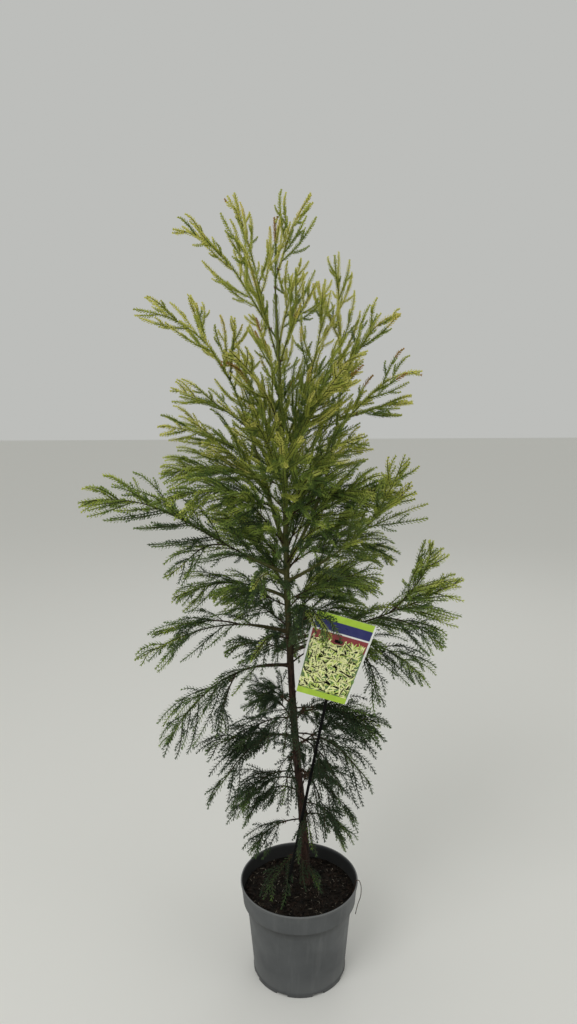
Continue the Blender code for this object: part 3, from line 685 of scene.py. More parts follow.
class Finish:
    """A material that is built node by node round one shader."""

    def __init__(self, name, colour, roughness, specular=0.5):
        self.material = bpy.data.materials.new(name)
        self.material.use_nodes = True
        self.material.diffuse_color = colour
        self.tree = self.material.node_tree
        self.shader = self.tree.nodes["Principled BSDF"]
        self.shader.inputs["Base Color"].default_value = colour
        self.shader.inputs["Roughness"].default_value = roughness
        self.shader.inputs["Specular IOR Level"].default_value = specular
        self.place = self.tree.nodes.new("ShaderNodeTexCoord").outputs["Object"]

    def link(self, source, target):
        self.tree.links.new(source, target)

    def mapped(self, scale):
        """The piece's own coordinates, stretched."""
        node = self.tree.nodes.new("ShaderNodeMapping")
        node.inputs["Scale"].default_value = scale
        self.link(self.place, node.inputs["Vector"])
        return node.outputs["Vector"]

    def noise(self, scale, detail=4.0, rough=0.5, place=None, distortion=0.0):
        node = self.tree.nodes.new("ShaderNodeTexNoise")
        node.inputs["Scale"].default_value = scale
        node.inputs["Detail"].default_value = detail
        node.inputs["Roughness"].default_value = rough
        node.inputs["Distortion"].default_value = distortion
        self.link(place or self.place, node.inputs["Vector"])
        return node.outputs["Fac"]

    def height(self):
        """How high a point of the piece is."""
        node = self.tree.nodes.new("ShaderNodeSeparateXYZ")
        self.link(self.place, node.inputs["Vector"])
        return node.outputs["Z"]

    def inward(self, slope):
        """How far a point is from the upright axis, less its height times a slope."""
        length = self.tree.nodes.new("ShaderNodeVectorMath")
        length.operation = "LENGTH"
        self.link(self.mapped((1.0, 1.0, 0.0)), length.inputs[0])
        node = self.tree.nodes.new("ShaderNodeMath")
        node.operation = "SUBTRACT"
        self.link(length.outputs["Value"], node.inputs[0])
        self.link(self.times(self.height(), slope), node.inputs[1])
        return node.outputs["Value"]

    def steps(self, value, low, high, to_low=0.0, to_high=1.0):
        """A value's range turned to another, with no value outside it."""
        node = self.tree.nodes.new("ShaderNodeMapRange")
        for socket, number in zip(("From Min", "From Max", "To Min", "To Max"), (low, high, to_low, to_high)):
            node.inputs[socket].default_value = number
        self.link(value, node.inputs["Value"])
        return node.outputs["Result"]

    def times(self, first, second):
        node = self.tree.nodes.new("ShaderNodeMath")
        node.operation = "MULTIPLY"
        self.link(first, node.inputs[0])
        if isinstance(second, float):
            node.inputs[1].default_value = second
        else:
            self.link(second, node.inputs[1])
        return node.outputs["Value"]

    def mix(self, amount, first, second):
        """A colour between two, each a colour or another node's output."""
        node = self.tree.nodes.new("ShaderNodeMix")
        node.data_type = "RGBA"
        self.link(amount, node.inputs["Factor"])
        for colour, name in ((first, "A"), (second, "B")):
            target = next(socket for socket in node.inputs if socket.name == name and socket.type == "RGBA")
            if isinstance(colour, bpy.types.NodeSocket):
                self.link(colour, target)
            else:
                target.default_value = tuple(colour)
        return next(socket for socket in node.outputs if socket.type == "RGBA")

    def base(self, colour):
        self.link(colour, self.shader.inputs["Base Color"])

    def roughness(self, value):
        self.link(value, self.shader.inputs["Roughness"])

    def bump(self, value, distance, strength=1.0):
        node = self.tree.nodes.new("ShaderNodeBump")
        node.inputs["Strength"].default_value = strength
        node.inputs["Distance"].default_value = distance
        self.link(value, node.inputs["Height"])
        self.link(node.outputs["Normal"], self.shader.inputs["Normal"])


def shaded(colour, share):
    """A colour darkened to a share of itself."""
    return [share * part for part in colour[:3]] + [1.0]


def needle_finish(name, colour):
    """A waxy needle: a plain colour, with a slightly uneven gloss."""
    finish = Finish("needles_" + name, tuple(colour), 0.6, 0.12)
    finish.roughness(finish.steps(finish.noise(220.0, 2.0), 0.3, 0.7, 0.50, 0.70))
    finish.bump(finish.noise(900.0, 1.0), 0.00008)
    return finish.material


def bark_finish(name, dark, red, grey, stretch, green=None):
    """Fibrous bark that peels in long strips, and turns green towards the top where a green is given."""
    finish = Finish(name, tuple(red), 0.85, 0.2)
    fibre = finish.mapped((1.0, 1.0, stretch))
    strips = finish.noise(420.0, 6.0, 0.65, fibre, 0.6)
    patches = finish.noise(46.0, 3.0, 0.5, finish.mapped((1.0, 1.0, 0.35)))
    colour = finish.mix(finish.steps(strips, 0.38, 0.60), dark, red)
    flakes = finish.times(finish.steps(patches, 0.50, 0.72), finish.steps(strips, 0.5, 0.66))
    colour = finish.mix(flakes, colour, grey)
    if green is not None:
        tint = finish.mix(finish.steps(strips, 0.35, 0.65), shaded(green, 0.6), green)
        colour = finish.mix(finish.steps(finish.height(), *GREEN_FROM), colour, tint)
    finish.base(colour)
    finish.roughness(finish.steps(strips, 0.3, 0.7, 0.92, 0.72))
    finish.bump(strips, 0.0006, 0.9)
    return finish.material


# -------- lines of growth


def at_height(points, radii, height):
    """The point of an upright line at a height, and its radius there."""
    heights = [point.z for point in points]
    where = [float(np.interp(height, heights, [point[axis] for point in points])) for axis in range(3)]
    return Vector(where), float(np.interp(height, heights, radii))


def smooth_route(knots, steps):
    """A smooth line through the knots, with a number of steps between each two."""
    points = []
    for index in range(len(knots) - 1):
        before, after = knots[max(index - 1, 0)], knots[min(index + 2, len(knots) - 1)]
        start, end = knots[index], knots[index + 1]
        handles = start + (end - before) / 6, end - (after - start) / 6
        points += bezier(start, *handles, end, steps + 1)[:-1]
    return points + [knots[-1]]


def bezier(start, handle, other_handle, end, count):
    points = []
    for index in range(count):
        t = index / (count - 1)
        u = 1 - t
        points.append(start * u**3 + handle * (3 * u * u * t) + other_handle * (3 * u * t * t) + end * t**3)
    return points


def trunk_line(steps=TRUNK_STEPS):
    """The trunk's middle line, and its radius at each point."""
    points = smooth_route([Vector((x, y, height)) for height, x, y, _ in TRUNK], steps)
    return points, [trunk_radius(point.z) for point in points]


def trunk_radius(height):
    heights, _, _, radii = zip(*TRUNK)
    return float(np.interp(height, heights, radii))


def length_of(points):
    return sum((end - start).length for start, end in zip(points, points[1:]))


def at_share(points, share):
    """The point at a share of a line's length, and the line's direction there."""
    left = share * length_of(points)
    for start, end in zip(points, points[1:]):
        step = (end - start).length
        if left <= step or end is points[-1]:
            return start.lerp(end, min(left / step, 1.0)), (end - start).normalized()
        left -= step


def part_of(points, first, last, step):
    """The stretch of a line between two shares, with a point about every step."""
    count = max(2, round(length_of(points) * (last - first) / step))
    return [at_share(points, first + (last - first) * index / count)[0] for index in range(count + 1)]


def branch_line(foot, branch):
    bearing = math.radians(branch.bearing)
    tip = Vector((branch.reach * math.cos(bearing), branch.reach * math.sin(bearing), branch.tip))
    level = ((tip - foot) * LEVEL).normalized()
    span = (tip - foot).length
    lift, nod = math.radians(branch.lift), math.radians(branch.nod)
    rising = level * math.cos(lift) + UP * math.sin(lift)
    ending = level * math.cos(nod) + UP * math.sin(nod)
    handles = foot + rising * span * RISING_HANDLE, tip - ending * span * ENDING_HANDLE
    return bezier(foot, *handles, tip, LINE_POINTS)


def step_clear(line, parent_radius, parent_way, own_radius):
    """The share of a line at which it comes clear of the parent that it springs from."""
    way = (line[1] - line[0]).normalized()
    slope = abs(way.dot(parent_way))
    across = max(math.sqrt(1 - slope * slope), STEEPEST_ACROSS)
    return (parent_radius + own_radius * slope + GAP) / across / length_of(line)


def bough_radius(share):
    """A bough's radius at a share of its bare length."""
    return BOUGH_RADIUS * (1 - (1 - BOUGH_TAPER) * share)


Limb = namedtuple("Limb", "name band root line bare")


def plan_branches():
    """Every branch as a limb: the node that it belongs to, its root inside the parent, and its line."""
    trunk, radii = trunk_line()
    plan, nodes = {}, {}
    for name, branch in BRANCHES.items():
        if branch.parent == "trunk" and branch.foot >= trunk[-1].z:
            line, root = branch_line(trunk[-1] + UP * GAP, branch), trunk[-1] - UP * LEADER_SUNK
            nodes[name], plan[name] = name, Limb(name, band_of(branch.tip), root, line, 0.0)
            continue
        if branch.parent == "trunk":
            foot, radius = at_height(trunk, radii, branch.foot)
            way = (at_height(trunk, radii, branch.foot + WAY_STEP)[0] - foot).normalized()
            node = name
        else:
            parent = plan[branch.parent]
            foot, way = at_share(parent.line, branch.foot)
            radius = bough_radius(branch.foot / max(parent.bare, branch.foot))
            node = nodes[branch.parent] if branch.foot > parent.bare else name
        line = branch_line(foot, branch)
        if node == name:
            own = BOUGH_RADIUS if branch.bare else STEM_FOOT_RADIUS
            line = part_of(line, step_clear(line, radius, way, own), 1.0, LINE_STEP)
        nodes[name] = node
        plan[name] = Limb(name, band_of(BRANCHES[node].tip), foot, line, branch.bare)
    return list(plan.values())


def plan_inner_branches():
    """The branches that fill the crown's inside, spirally up the trunk."""
    trunk, radii = trunk_line()
    source = random.Random(INNER_SEED)
    planned = []
    for group in INNER_GROUPS:
        for index in range(group.count):
            share = (index + 0.5) / group.count
            spans = (group.foot, group.reach, group.rise)
            foot, reach, rise = (low + (high - low) * share for low, high in spans)
            foot += source.uniform(-INNER_FOOT_CHANCE, INNER_FOOT_CHANCE)
            reach *= source.uniform(*INNER_REACHES)
            bearing = len(planned) * INNER_TURN + source.uniform(-INNER_BEARING_CHANCE, INNER_BEARING_CHANCE)
            root, _ = at_height(trunk, radii, foot)
            for turn in INNER_TRIES:
                branch = Branch("trunk", foot, bearing + turn, reach, foot + rise, group.lift, group.nod, 0)
                line = branch_line(root, branch)
                if not in_the_way(line):
                    name = f"{group.name}_{index + 1}"
                    planned.append(Limb(name, band_of(line[-1].z), root, line, 0.0))
                    break
    return planned


def band_of(height):
    return next(name for name, top in BANDS if height < top)


def shoot_line(foot, along, out, length, rise):
    """A shoot that leaves at an angle, bends forward and then rises or hangs."""
    leave = along * math.cos(SHOOT_SPREAD) + out * math.sin(SHOOT_SPREAD)
    end = foot + (leave * SHOOT_LEAVE + along + UP * rise * SHOOT_RISE).normalized() * length
    ending = along + UP * (rise - SHOOT_NOD)
    near, far = SHOOT_HANDLES
    return bezier(foot, foot + leave * length * near, end - ending * length * far, end, SHOOT_POINTS)


def facing(limb):
    """How far a limb stands toward the front, from nought to one."""
    way = (limb.line[-1] - limb.line[0]).normalized()
    top, fade = FRONT_TOP
    slope, span = FRONT_SLOPE
    below = min(1.0, max(0.0, top - limb.line[-1].z) / fade)
    return below * min(1.0, max(0.0, -way.y - slope) / span)


def rise_of(height):
    """How far shoots at a height turn up, or down where it is negative."""
    return float(np.interp(height, *zip(*RISE_AT)))


def shoots_along(limb, source, late, size, first, last=LAST_SHOOT, free=FREE_SHARE, hang=1.0):
    """The shoots that stand spirally round a limb, each with the share at which it leaves.

    A later set stands between the seeded ones: late is the share of a step by which it follows them.
    """
    whole = length_of(limb.line)
    begin = source.uniform(0, 2 * math.pi)
    count = max(2, round(whole * (last - first) / SHOOT_STEP))
    for index in range(count):
        share = first + (last - first) * (index + SHOOT_PLACE + late) / count
        if share > NO_SHOOT_PAST:
            continue
        foot, along = at_share(limb.line, share)
        side = along.cross(UP).normalized()
        over = side.cross(along)
        turn = begin + index * SHOOT_TURN + 2 * late * BETWEEN_TURN
        length = SHOOT_LENGTH * (SHOOT_FOOT_LENGTH - SHOOT_SHORTENING * share)
        length *= 1 + SHOOT_UNEVENNESS * source.uniform(*SHOOT_CHANCE)
        length *= min(LONGEST_SHARE, SHORTEST_SHARE + SHARE_PER_METRE * whole)
        length = size * min(length, free * (1 - share) * whole + PAST_TIP)
        out = side * math.cos(turn) + over * math.sin(turn) * SHOOT_FLATNESS
        rise = rise_of(foot.z) * hang - FRONT_HANG * facing(limb)
        yield share, shoot_line(foot, along, out, length, rise)


def twigs_along(shoot, source, step):
    """The short twigs on both sides of a shoot, and the share at which each leaves."""
    whole = length_of(shoot)
    count = max(2, round(whole * (LAST_TWIG - FIRST_TWIG) / step))
    way = (shoot[-1] - shoot[0]).normalized()
    flat = way.cross(UP)
    side = flat.normalized() if flat.length > NEARLY_UPRIGHT else way.orthogonal().normalized()
    begin = source.uniform(0, 2 * math.pi)
    for index in range(count):
        share = FIRST_TWIG + (LAST_TWIG - FIRST_TWIG) * (index + 0.5) / count
        foot, along = at_share(shoot, share)
        over = side.cross(along).normalized()
        turn = begin + index * SHOOT_TURN + source.uniform(-TWIG_TURN_CHANCE, TWIG_TURN_CHANCE)
        out = (side * math.cos(turn) + over * math.sin(turn) * TWIG_FLATNESS).normalized()
        length = TWIG_SHARE * whole * (TWIG_FOOT_LENGTH - TWIG_SHORTENING * share)
        length = min(length * source.uniform(*TWIG_LENGTHS), TWIG_FREE * (1 - share) * whole)
        if length < SHORTEST_TWIG:
            continue
        leave = along * math.cos(TWIG_SPREAD) + out * math.sin(TWIG_SPREAD)
        rise = UP * rise_of(foot.z) * TWIG_RISE
        end = foot + (leave * TWIG_LEAVE + along + rise).normalized() * length
        near, far = TWIG_HANDLES
        handles = foot + leave * length * near, end - (along + rise) * length * far
        yield share, bezier(foot, *handles, end, TWIG_POINTS)


# -------- arrays of wood and needles


def frames_along(points):
    """A line's corners as an array, with the direction and two sides at each."""
    line = np.array([tuple(point) for point in points])
    way = np.gradient(line, axis=0)
    way /= np.linalg.norm(way, axis=1, keepdims=True)
    guide = np.array((0.0, 0.0, 1.0)) if abs(way[0, 2]) < STEEP else np.array((0.0, 1.0, 0.0))
    side = np.cross(way, guide)
    side /= np.linalg.norm(side, axis=1, keepdims=True)
    return line, way, side, np.cross(way, side)


class Wood:
    """Closed tapering tubes, joined into one mesh."""

    def __init__(self):
        self.points, self.faces, self.count = [], [], 0

    def tube(self, points, radii, sides):
        line, _, side, over = frames_along(points)
        angles = 2 * math.pi * np.arange(sides) / sides
        ring = side[:, None] * np.cos(angles)[None, :, None] + over[:, None] * np.sin(angles)[None, :, None]
        corners = (line[:, None] + ring * np.asarray(radii)[:, None, None]).reshape(-1, 3)
        last = len(line) - 1
        faces = []
        for step in range(last):
            for corner in range(sides):
                after = (corner + 1) % sides
                low, high = step * sides, (step + 1) * sides
                faces.append((low + corner, low + after, high + after))
                faces.append((low + corner, high + after, high + corner))
        for corner in range(1, sides - 1):
            faces.append((0, corner + 1, corner))
            faces.append((last * sides, last * sides + corner, last * sides + corner + 1))
        self.points.append(corners)
        self.faces.append(np.array(faces) + self.count)
        self.count += len(corners)

    def piece(self, name, material):
        points = np.concatenate(self.points)
        return mesh_piece(name, points, outward(points, np.concatenate(self.faces)), material, flat=False)


def outward(points, faces):
    """The faces, turned round if together they enclose less than nothing."""
    first, second, third = (points[faces[:, corner]] for corner in range(3))
    volume = np.einsum("ij,ij->i", first, np.cross(second, third)).sum()
    return faces if volume > 0 else faces[:, ::-1]


class Needles:
    """Needles of one kind in one band of the tree: roots, directions, leans, lengths and widths."""

    def __init__(self):
        self.rows = []
        self.total = 0

    def add(self, roots, way, out, lean, size, width):
        self.rows.append((roots, way, out, lean[:, None], size[:, None], width[:, None]))
        self.total += len(roots)

    def arrays(self):
        """Closed four-cornered needles that lean out from the twig, each with a bulging back."""
        roots, way, out, lean, size, width = (np.concatenate(column) for column in zip(*self.rows))
        across = np.cross(way, out)
        rise = way * np.cos(lean) + out * np.sin(lean)
        back = out * np.cos(lean) - way * np.sin(lean)
        low, high = (roots + rise * size * share for share in SHOULDERS)
        high = high + back * width * BULGE
        corners = (roots, low + across * width / 2, high - across * width / 2, roots + rise * size)
        points = np.stack(corners, axis=1)
        one = np.array([(0, 1, 3), (0, 3, 2), (0, 2, 1), (1, 2, 3)])
        faces = one[None] + 4 * np.arange(len(points))[:, None, None]
        return points, outward(points.reshape(-1, 3), faces.reshape(-1, 3)).reshape(-1, 4, 3)

    def pieces(self, name, material):
        """The needles as joined meshes, each small enough to be kept whole."""
        if not self.total:
            return []
        points, faces = self.arrays()
        made = []
        parts = math.ceil(self.total / NEEDLES_PER_PIECE)
        edges = np.linspace(0, self.total, parts + 1).astype(int)
        for index, (start, end) in enumerate(zip(edges, edges[1:])):
            title = name if parts == 1 else f"{name}_{index + 1}"
            corners, sides = points[start:end].reshape(-1, 3), faces[start:end].reshape(-1, 3) - 4 * start
            made.append(mesh_piece(title, corners, sides, material))
        return made


# -------- the foliage


def kind_at(tone):
    return KINDS[int(np.clip(tone * len(KINDS), 0, len(KINDS) - 1))]


def in_the_way(points):
    """Whether a line would run through the tag, the soil or the pot's rim, or out past the solids."""
    line = np.array([tuple(point) for point in points])
    lowest, highest = (np.array(tuple(corner)) for corner in CAD_BOX)
    if (line < lowest - PAST_BOX).any() or (line > highest + PAST_BOX).any():
        return True
    distance = np.hypot(line[:, 0], line[:, 1])
    low = (line[:, 2] < SOIL_TOP + SOIL_ROOM) & (distance < RIM_OUTSIDE)
    rim = (line[:, 2] < RIM_ABOVE) & (distance > RIM_INSIDE) & (distance < RIM_OUTSIDE)
    across, depth, height = np.abs(TAG_AXES @ (line - np.array(TAG_MIDDLE)).T)
    tag = (across < TAG_ROOM[0]) & (height < TAG_ROOM[1]) & (depth < TAG_ROOM[2])
    return bool((low | rim | tag).any())


class Grower:
    """Grows shoots, twigs and needles on every limb, and sorts them by band and kind."""

    def __init__(self, settings):
        self.settings = settings
        self.needles = {(band, kind): Needles() for band, _ in BANDS for kind in KINDS + RARE_KINDS}
        self.wood = {(band, part): Wood() for band, _ in BANDS for part in ("stems", "shoots", "twigs")}

    def clothe(
        self, points, band, kind, tip_kind, source,
        first=0.0, last=1.0, thin=1.0, wood=TWIG_WOOD[1], short=1.0,
    ):
        """Needles in five ranks round a line, in another kind towards its tip."""
        line, way, side, _ = frames_along(points)
        along = np.concatenate([[0.0], np.cumsum(np.linalg.norm(np.diff(line, axis=0), axis=1))])
        heights, sizes, leans, widths, steps = zip(*NEEDLES_AT)
        height = line[:, 2].mean()
        whole, step = along[-1], float(np.interp(height, heights, steps)) * thin * (0.5 + 0.5 * short)
        index = np.arange(RANKS * max(1, round((last - first) * whole / step)))
        at = first * whole + (index // RANKS + FIRST_TIER + index % RANKS * TIER_SPREAD / RANKS) * step
        at = at + source.normal(0, NEEDLE_PLACE_CHANCE * step, len(at))
        roots, ways, sides = (
            np.stack([np.interp(at, along, column) for column in table.T], axis=1)
            for table in (line, way, side)
        )
        ways /= np.linalg.norm(ways, axis=1, keepdims=True)
        sides -= ways * (sides * ways).sum(axis=1, keepdims=True)
        sides /= np.linalg.norm(sides, axis=1, keepdims=True)
        turns = source.uniform(0, TURN) + index * NEEDLE_TURN + source.normal(0, NEEDLE_TURN_CHANCE, len(at))
        out = sides * np.cos(turns)[:, None] + np.cross(ways, sides) * np.sin(turns)[:, None]
        off_tip = np.clip((whole - at) / TIP_STRETCH, 0, 1)
        lean = np.radians(float(np.interp(height, heights, leans))) * (TIP_LEAN[0] + TIP_LEAN[1] * off_tip)
        lean = lean + source.normal(0, NEEDLE_LEAN_CHANCE, len(at))
        size = float(np.interp(height, heights, sizes)) * self.settings.needle_scale
        size = short * size * (TIP_SIZE[0] + TIP_SIZE[1] * off_tip) * source.uniform(*NEEDLE_LENGTHS, len(at))
        width = float(np.interp(height, heights, widths)) * self.settings.needle_width
        width = width * source.uniform(*NEEDLE_WIDTHS, len(at))
        roots = roots + out * wood * 0.5
        light = at > whole * TIP_KIND_FROM
        for chosen, name in ((~light, kind), (light, tip_kind)):
            if chosen.any():
                rows = (part[chosen] for part in (roots, ways, out, lean, size, width))
                self.needles[band, name].add(*rows)

    def tone(self, name, height, outward, source):
        """How light a branch is at a height, from its foot outward, the darker inside being partly painted
        shade.
        """
        heights, tones = zip(*TONE_AT)
        tone = float(np.interp(height, heights, tones)) + OUTWARD_TONE * (outward - 0.5)
        return tone + TONE_OF.get(name, 0.0) + source.normal(0, TONE_CHANCE)

    def special(self, height, source):
        """Bronze or golden tips that stand among the green ones high on the tree, or none."""
        draw = source.uniform()
        if height > BRONZE_FROM and draw < BRONZE_CHANCE:
            return "bronze"
        if height > GOLD_FROM and draw < BRONZE_CHANCE + GOLD_CHANCE:
            return "gold"
        return None

    def grow(self, limb):
        """A limb's leafy part, and the seeded and the further shoots on it."""
        band = limb.band
        seed = sum(ord(letter) * (index + 3) for index, letter in enumerate(limb.name))
        source = np.random.RandomState(seed)
        self.stem(limb, band, source)
        first = limb.bare + FIRST_SHOOT
        shoots = list(shoots_along(limb, random.Random(limb.name), 0, 1.0, first))
        tip = limb.line[-1].z
        sets = SETS_OF.get(limb.name) or next(count for top, count in SETS_BELOW if tip < top)
        if facing(limb) > FRONT_FROM:
            sets = FRONT_SETS
        size, free, hang = BETWEEN_LENGTH, FREE_SHARE, 1.0
        if band == "low":
            size, free, hang = LOW_LENGTH, HANGING_SHARE, LOW_HANG
        for late in np.arange(1, sets + 1) / (sets + 1):
            draws = random.Random(f"{limb.name} {self.settings.shoot_seed} {late:.2f}")
            shoots += shoots_along(limb, draws, late, size, first, free=free, hang=hang)
            if limb.bare:
                draws = random.Random(f"{limb.name} bough {late:.2f}")
                shoots += shoots_along(limb, draws, late, BOUGH_SHOOTS, BOUGH_FREE * first, first)
        for share, shoot in shoots:
            if not in_the_way(shoot):
                self.shoot(limb, band, share, shoot, source)

    def stem(self, limb, band, source):
        """The leafy part of the branch itself."""
        line = part_of(limb.line, limb.bare, 1.0, STEM_STEP)
        if (limb.root - line[0]).length > GAP:
            line = [limb.root] + line
        radii = np.linspace(STEM_RADIUS, STEM_TIP_RADIUS, len(line))
        self.wood[band, "stems"].tube(line, radii, 6)
        middle, tip = at_share(line, 0.5)[0].z, line[-1].z
        kind = kind_at(self.tone(limb.name, middle, 0.4, source))
        tip_kind = self.special(tip, source)
        tip_kind = tip_kind or kind_at(self.tone(limb.name, tip, 1.0, source) + STEM_TIP_TONE)
        inner = DEAD_TO_HIGH if limb.bare or middle > HANG_BELOW else DEAD_TO_LOW
        self.clothe(line, band, "dead", "dead", source, DEAD_FROM, inner, DEAD_THIN)
        self.clothe(line, band, kind, tip_kind, source, inner)

    def shoot(self, limb, band, share, shoot, source):
        """A shoot with its twigs and needles, that leaves its limb at a share."""
        height = shoot[-1].z
        tone = self.tone(limb.name, height, share, source) - FRONT_TONE * facing(limb)
        special = self.special(height, source)
        self.wood[band, "shoots"].tube(shoot, np.linspace(*SHOOT_WOOD, len(shoot)), 4)
        self.clothe(shoot, band, kind_at(tone), special or kind_at(tone + SHOOT_TIP_TONE), source, 0.05)
        step = float(np.interp(height, *zip(*TWIG_STEPS_AT))) * self.settings.twig_thin
        for along, twig in twigs_along(shoot, source, step):
            if in_the_way(twig):
                continue
            # Twigs further out along a shoot are lighter: partly younger needles, partly painted shade on the
            # inner ones.
            twig_tone = tone + OUTWARD_TONE * (along - 0.5)
            kind = kind_at(twig_tone + source.normal(0, TWIG_TONE_CHANCE))
            tip = special if special and along > SPECIAL_FROM else kind_at(twig_tone + TWIG_TIP_TONE)
            self.wood[band, "twigs"].tube(twig, np.linspace(*TWIG_WOOD, len(twig)), 3)
            self.clothe(twig, band, kind, tip, source, 0.04, short=TWIG_NEEDLE)

    def sprout(self, source):
        """Short shoots straight from the trunk."""
        points, radii = trunk_line()
        low, high, count = SPROUTS
        for index in range(count):
            height = low + (high - low) * (index + source.uniform(0, 0.8)) / count
            foot, _ = at_height(points, radii, height)
            turn = index * SHOOT_TURN + source.normal(0, 0.2)
            out = Vector((math.cos(turn), math.sin(turn), 0.0))
            length = SPROUT_LENGTH * source.uniform(*SPROUT_LENGTHS)
            shoot = shoot_line(foot, UP, out, length, SPROUT_RISE)
            if not in_the_way(shoot):
                limb = Limb("sprout", band_of(height + 0.05), foot, shoot, 0.0)
                self.shoot(limb, limb.band, 0.5, shoot, source)

    def clothe_leader(self, source):
        """Short needles on the green top of the trunk."""
        trunk, _ = trunk_line()
        for low, high, thin, kind in LEADER_NEEDLES:
            line = [point for point in trunk if low - LEADER_OVERLAP <= point.z <= high + LEADER_OVERLAP]
            if len(line) > 1:
                self.clothe(line, "high", kind, "moss", source, thin=thin, wood=LEADER_WOOD)


class CEDAR_OT_grow_foliage(bpy.types.Operator):
    """Grow the shoots, twigs and needles of every mass of foliage"""

    bl_idname = "cedar.grow_foliage"
    bl_label = "Grow foliage"

    def execute(self, context):
        settings = context.scene.cedar.foliage
        limbs = context.scene.cedar.limbs
        grower = Grower(settings)
        for limb in plan_branches() + plan_inner_branches():
            grower.grow(limb)
        grower.sprout(np.random.RandomState(SPROUT_SEED))
        grower.clothe_leader(np.random.RandomState(LEADER_SEED))
        finishes = {}
        for (band, kind), needles in grower.needles.items():
            red, green, blue, full = getattr(settings, kind)
            red *= 1.0 if kind in RARE_KINDS else RED_OF[band]
            if needles.total:
                finishes[band, kind] = needle_finish(f"{kind}_{band}", (red, green, blue, full))
        brown, dark = tuple(limbs.twig_brown), tuple(limbs.bark_dark)
        tints = {"low": settings.deep, "middle": settings.dark, "high": settings.green}
        wood = {}
        for band, _ in BANDS:
            tint = tuple(tints[band])
            young = (brown, tint, tint) if band == "high" else (dark, brown, tint)
            wood[band, "stems"] = bark_finish("stem_bark_" + band, *young, 0.5)
            wood[band, "shoots"] = bark_finish("shoot_bark_" + band, brown, tint, tint, 0.5)
            wood[band, "twigs"] = bark_finish("twig_bark_" + band, tint, tint, tint, 0.5)
        nodes = {band: [] for band, _ in BANDS}
        for name in BRANCHES:
            if "foliage_" + name in frame["nodes"]:
                nodes[band_of(BRANCHES[name].tip)].append("foliage_" + name)
        for (band, kind), needles in grower.needles.items():
            for piece in needles.pieces(f"needles_{kind}_{band}", finishes.get((band, kind))):
                into_frame(piece, "foliage_" + band, *nodes[band])
        for (band, part), tubes in grower.wood.items():
            piece = tubes.piece(f"{part}_{band}", wood[band, part])
            into_frame(piece, "foliage_" + band, *nodes[band])
        return {"FINISHED"}


# -------- trunk and boughs


# Sides round the trunk, a bough and the wire, and the steps along the first two.
TRUNK_SIDES, BOUGH_SIDES, WIRE_SIDES = 30, 18, 12
TRUNK_STEP, BOUGH_STEP = 0.0024, 0.0028
TRUNK_SUNK = 0.006
# How far the bark's texture is drawn out along the trunk and along a bough.
TRUNK_STRETCH, BOUGH_STRETCH = 7.0, 5.0
# The root flare's top, its height and its ridges, and how far and how wide a collar swells at a branch.
FLARE = (0.215, 0.052, 5)
COLLAR = (0.0011, 0.0055)
# A bough is this much thicker at its foot, over this share of its bare length.
BOUGH_FOOT = (0.35, 0.12)
# Stubs of lost twigs on the trunk: seed, number, the lowest and how far up they go, lengths and radii.
STUB_SEED = 11
STUB_COUNT = 150
STUB_HEIGHTS = (0.185, 0.72)
STUB_SIZES = (0.003, 0.010)
STUB_RADII = [0.0007, 0.0006, 0.0004]


def limb_curve(name, points, radii, sides):
    """A tapering tube with capped ends, turned from a curve into a mesh."""
    curve = bpy.data.curves.new(name, "CURVE")
    curve.dimensions = "3D"
    curve.bevel_depth = 1.0
    curve.bevel_resolution = (sides - 4) // 2
    curve.use_fill_caps = True
    spline = curve.splines.new("POLY")
    spline.points.add(len(points) - 1)
    for knot, point, radius in zip(spline.points, points, radii):
        knot.co = (*point, 1.0)
        knot.radius = radius
    piece = bpy.data.objects.new(name, curve)
    bpy.context.scene.collection.objects.link(piece)
    take(piece)
    bpy.ops.object.convert(target="MESH")
    piece = bpy.context.object
    face_outwards(piece)
    return piece


def raise_bark(piece, relief, way, stretch):
    """Ridges along the limb and small bumps over them, applied to the mesh."""
    deselect_all()
    bpy.ops.object.empty_add(type="PLAIN_AXES")
    guide = bpy.context.object
    guide.rotation_euler = way.to_track_quat("Z", "Y").to_euler()
    layers = (("ridges", "STUCCI", 0.0042, stretch, 1.0), ("flakes", "CLOUDS", 0.0016, 2.2, 0.55))
    for name, kind, size, pull, share in layers:
        texture = bpy.data.textures.new("bark_" + name, type=kind)
        texture.noise_scale = size
        guide.scale = (1.0, 1.0, pull)
        displace = piece.modifiers.new(name, "DISPLACE")
        displace.texture = texture
        displace.texture_coords = "OBJECT"
        displace.texture_coords_object = guide
        displace.strength = relief * share
        displace.mid_level = 0.55
        apply_modifiers(piece)
        bpy.data.textures.remove(texture)
    bpy.data.objects.remove(guide)


def mesh_points(piece):
    points = np.empty(len(piece.data.vertices) * 3, np.float32)
    piece.data.vertices.foreach_get("co", points)
    return points.reshape(-1, 3)


def set_points(piece, points):
    piece.data.vertices.foreach_set("co", np.ascontiguousarray(points, np.float32).ravel())
    piece.data.update()


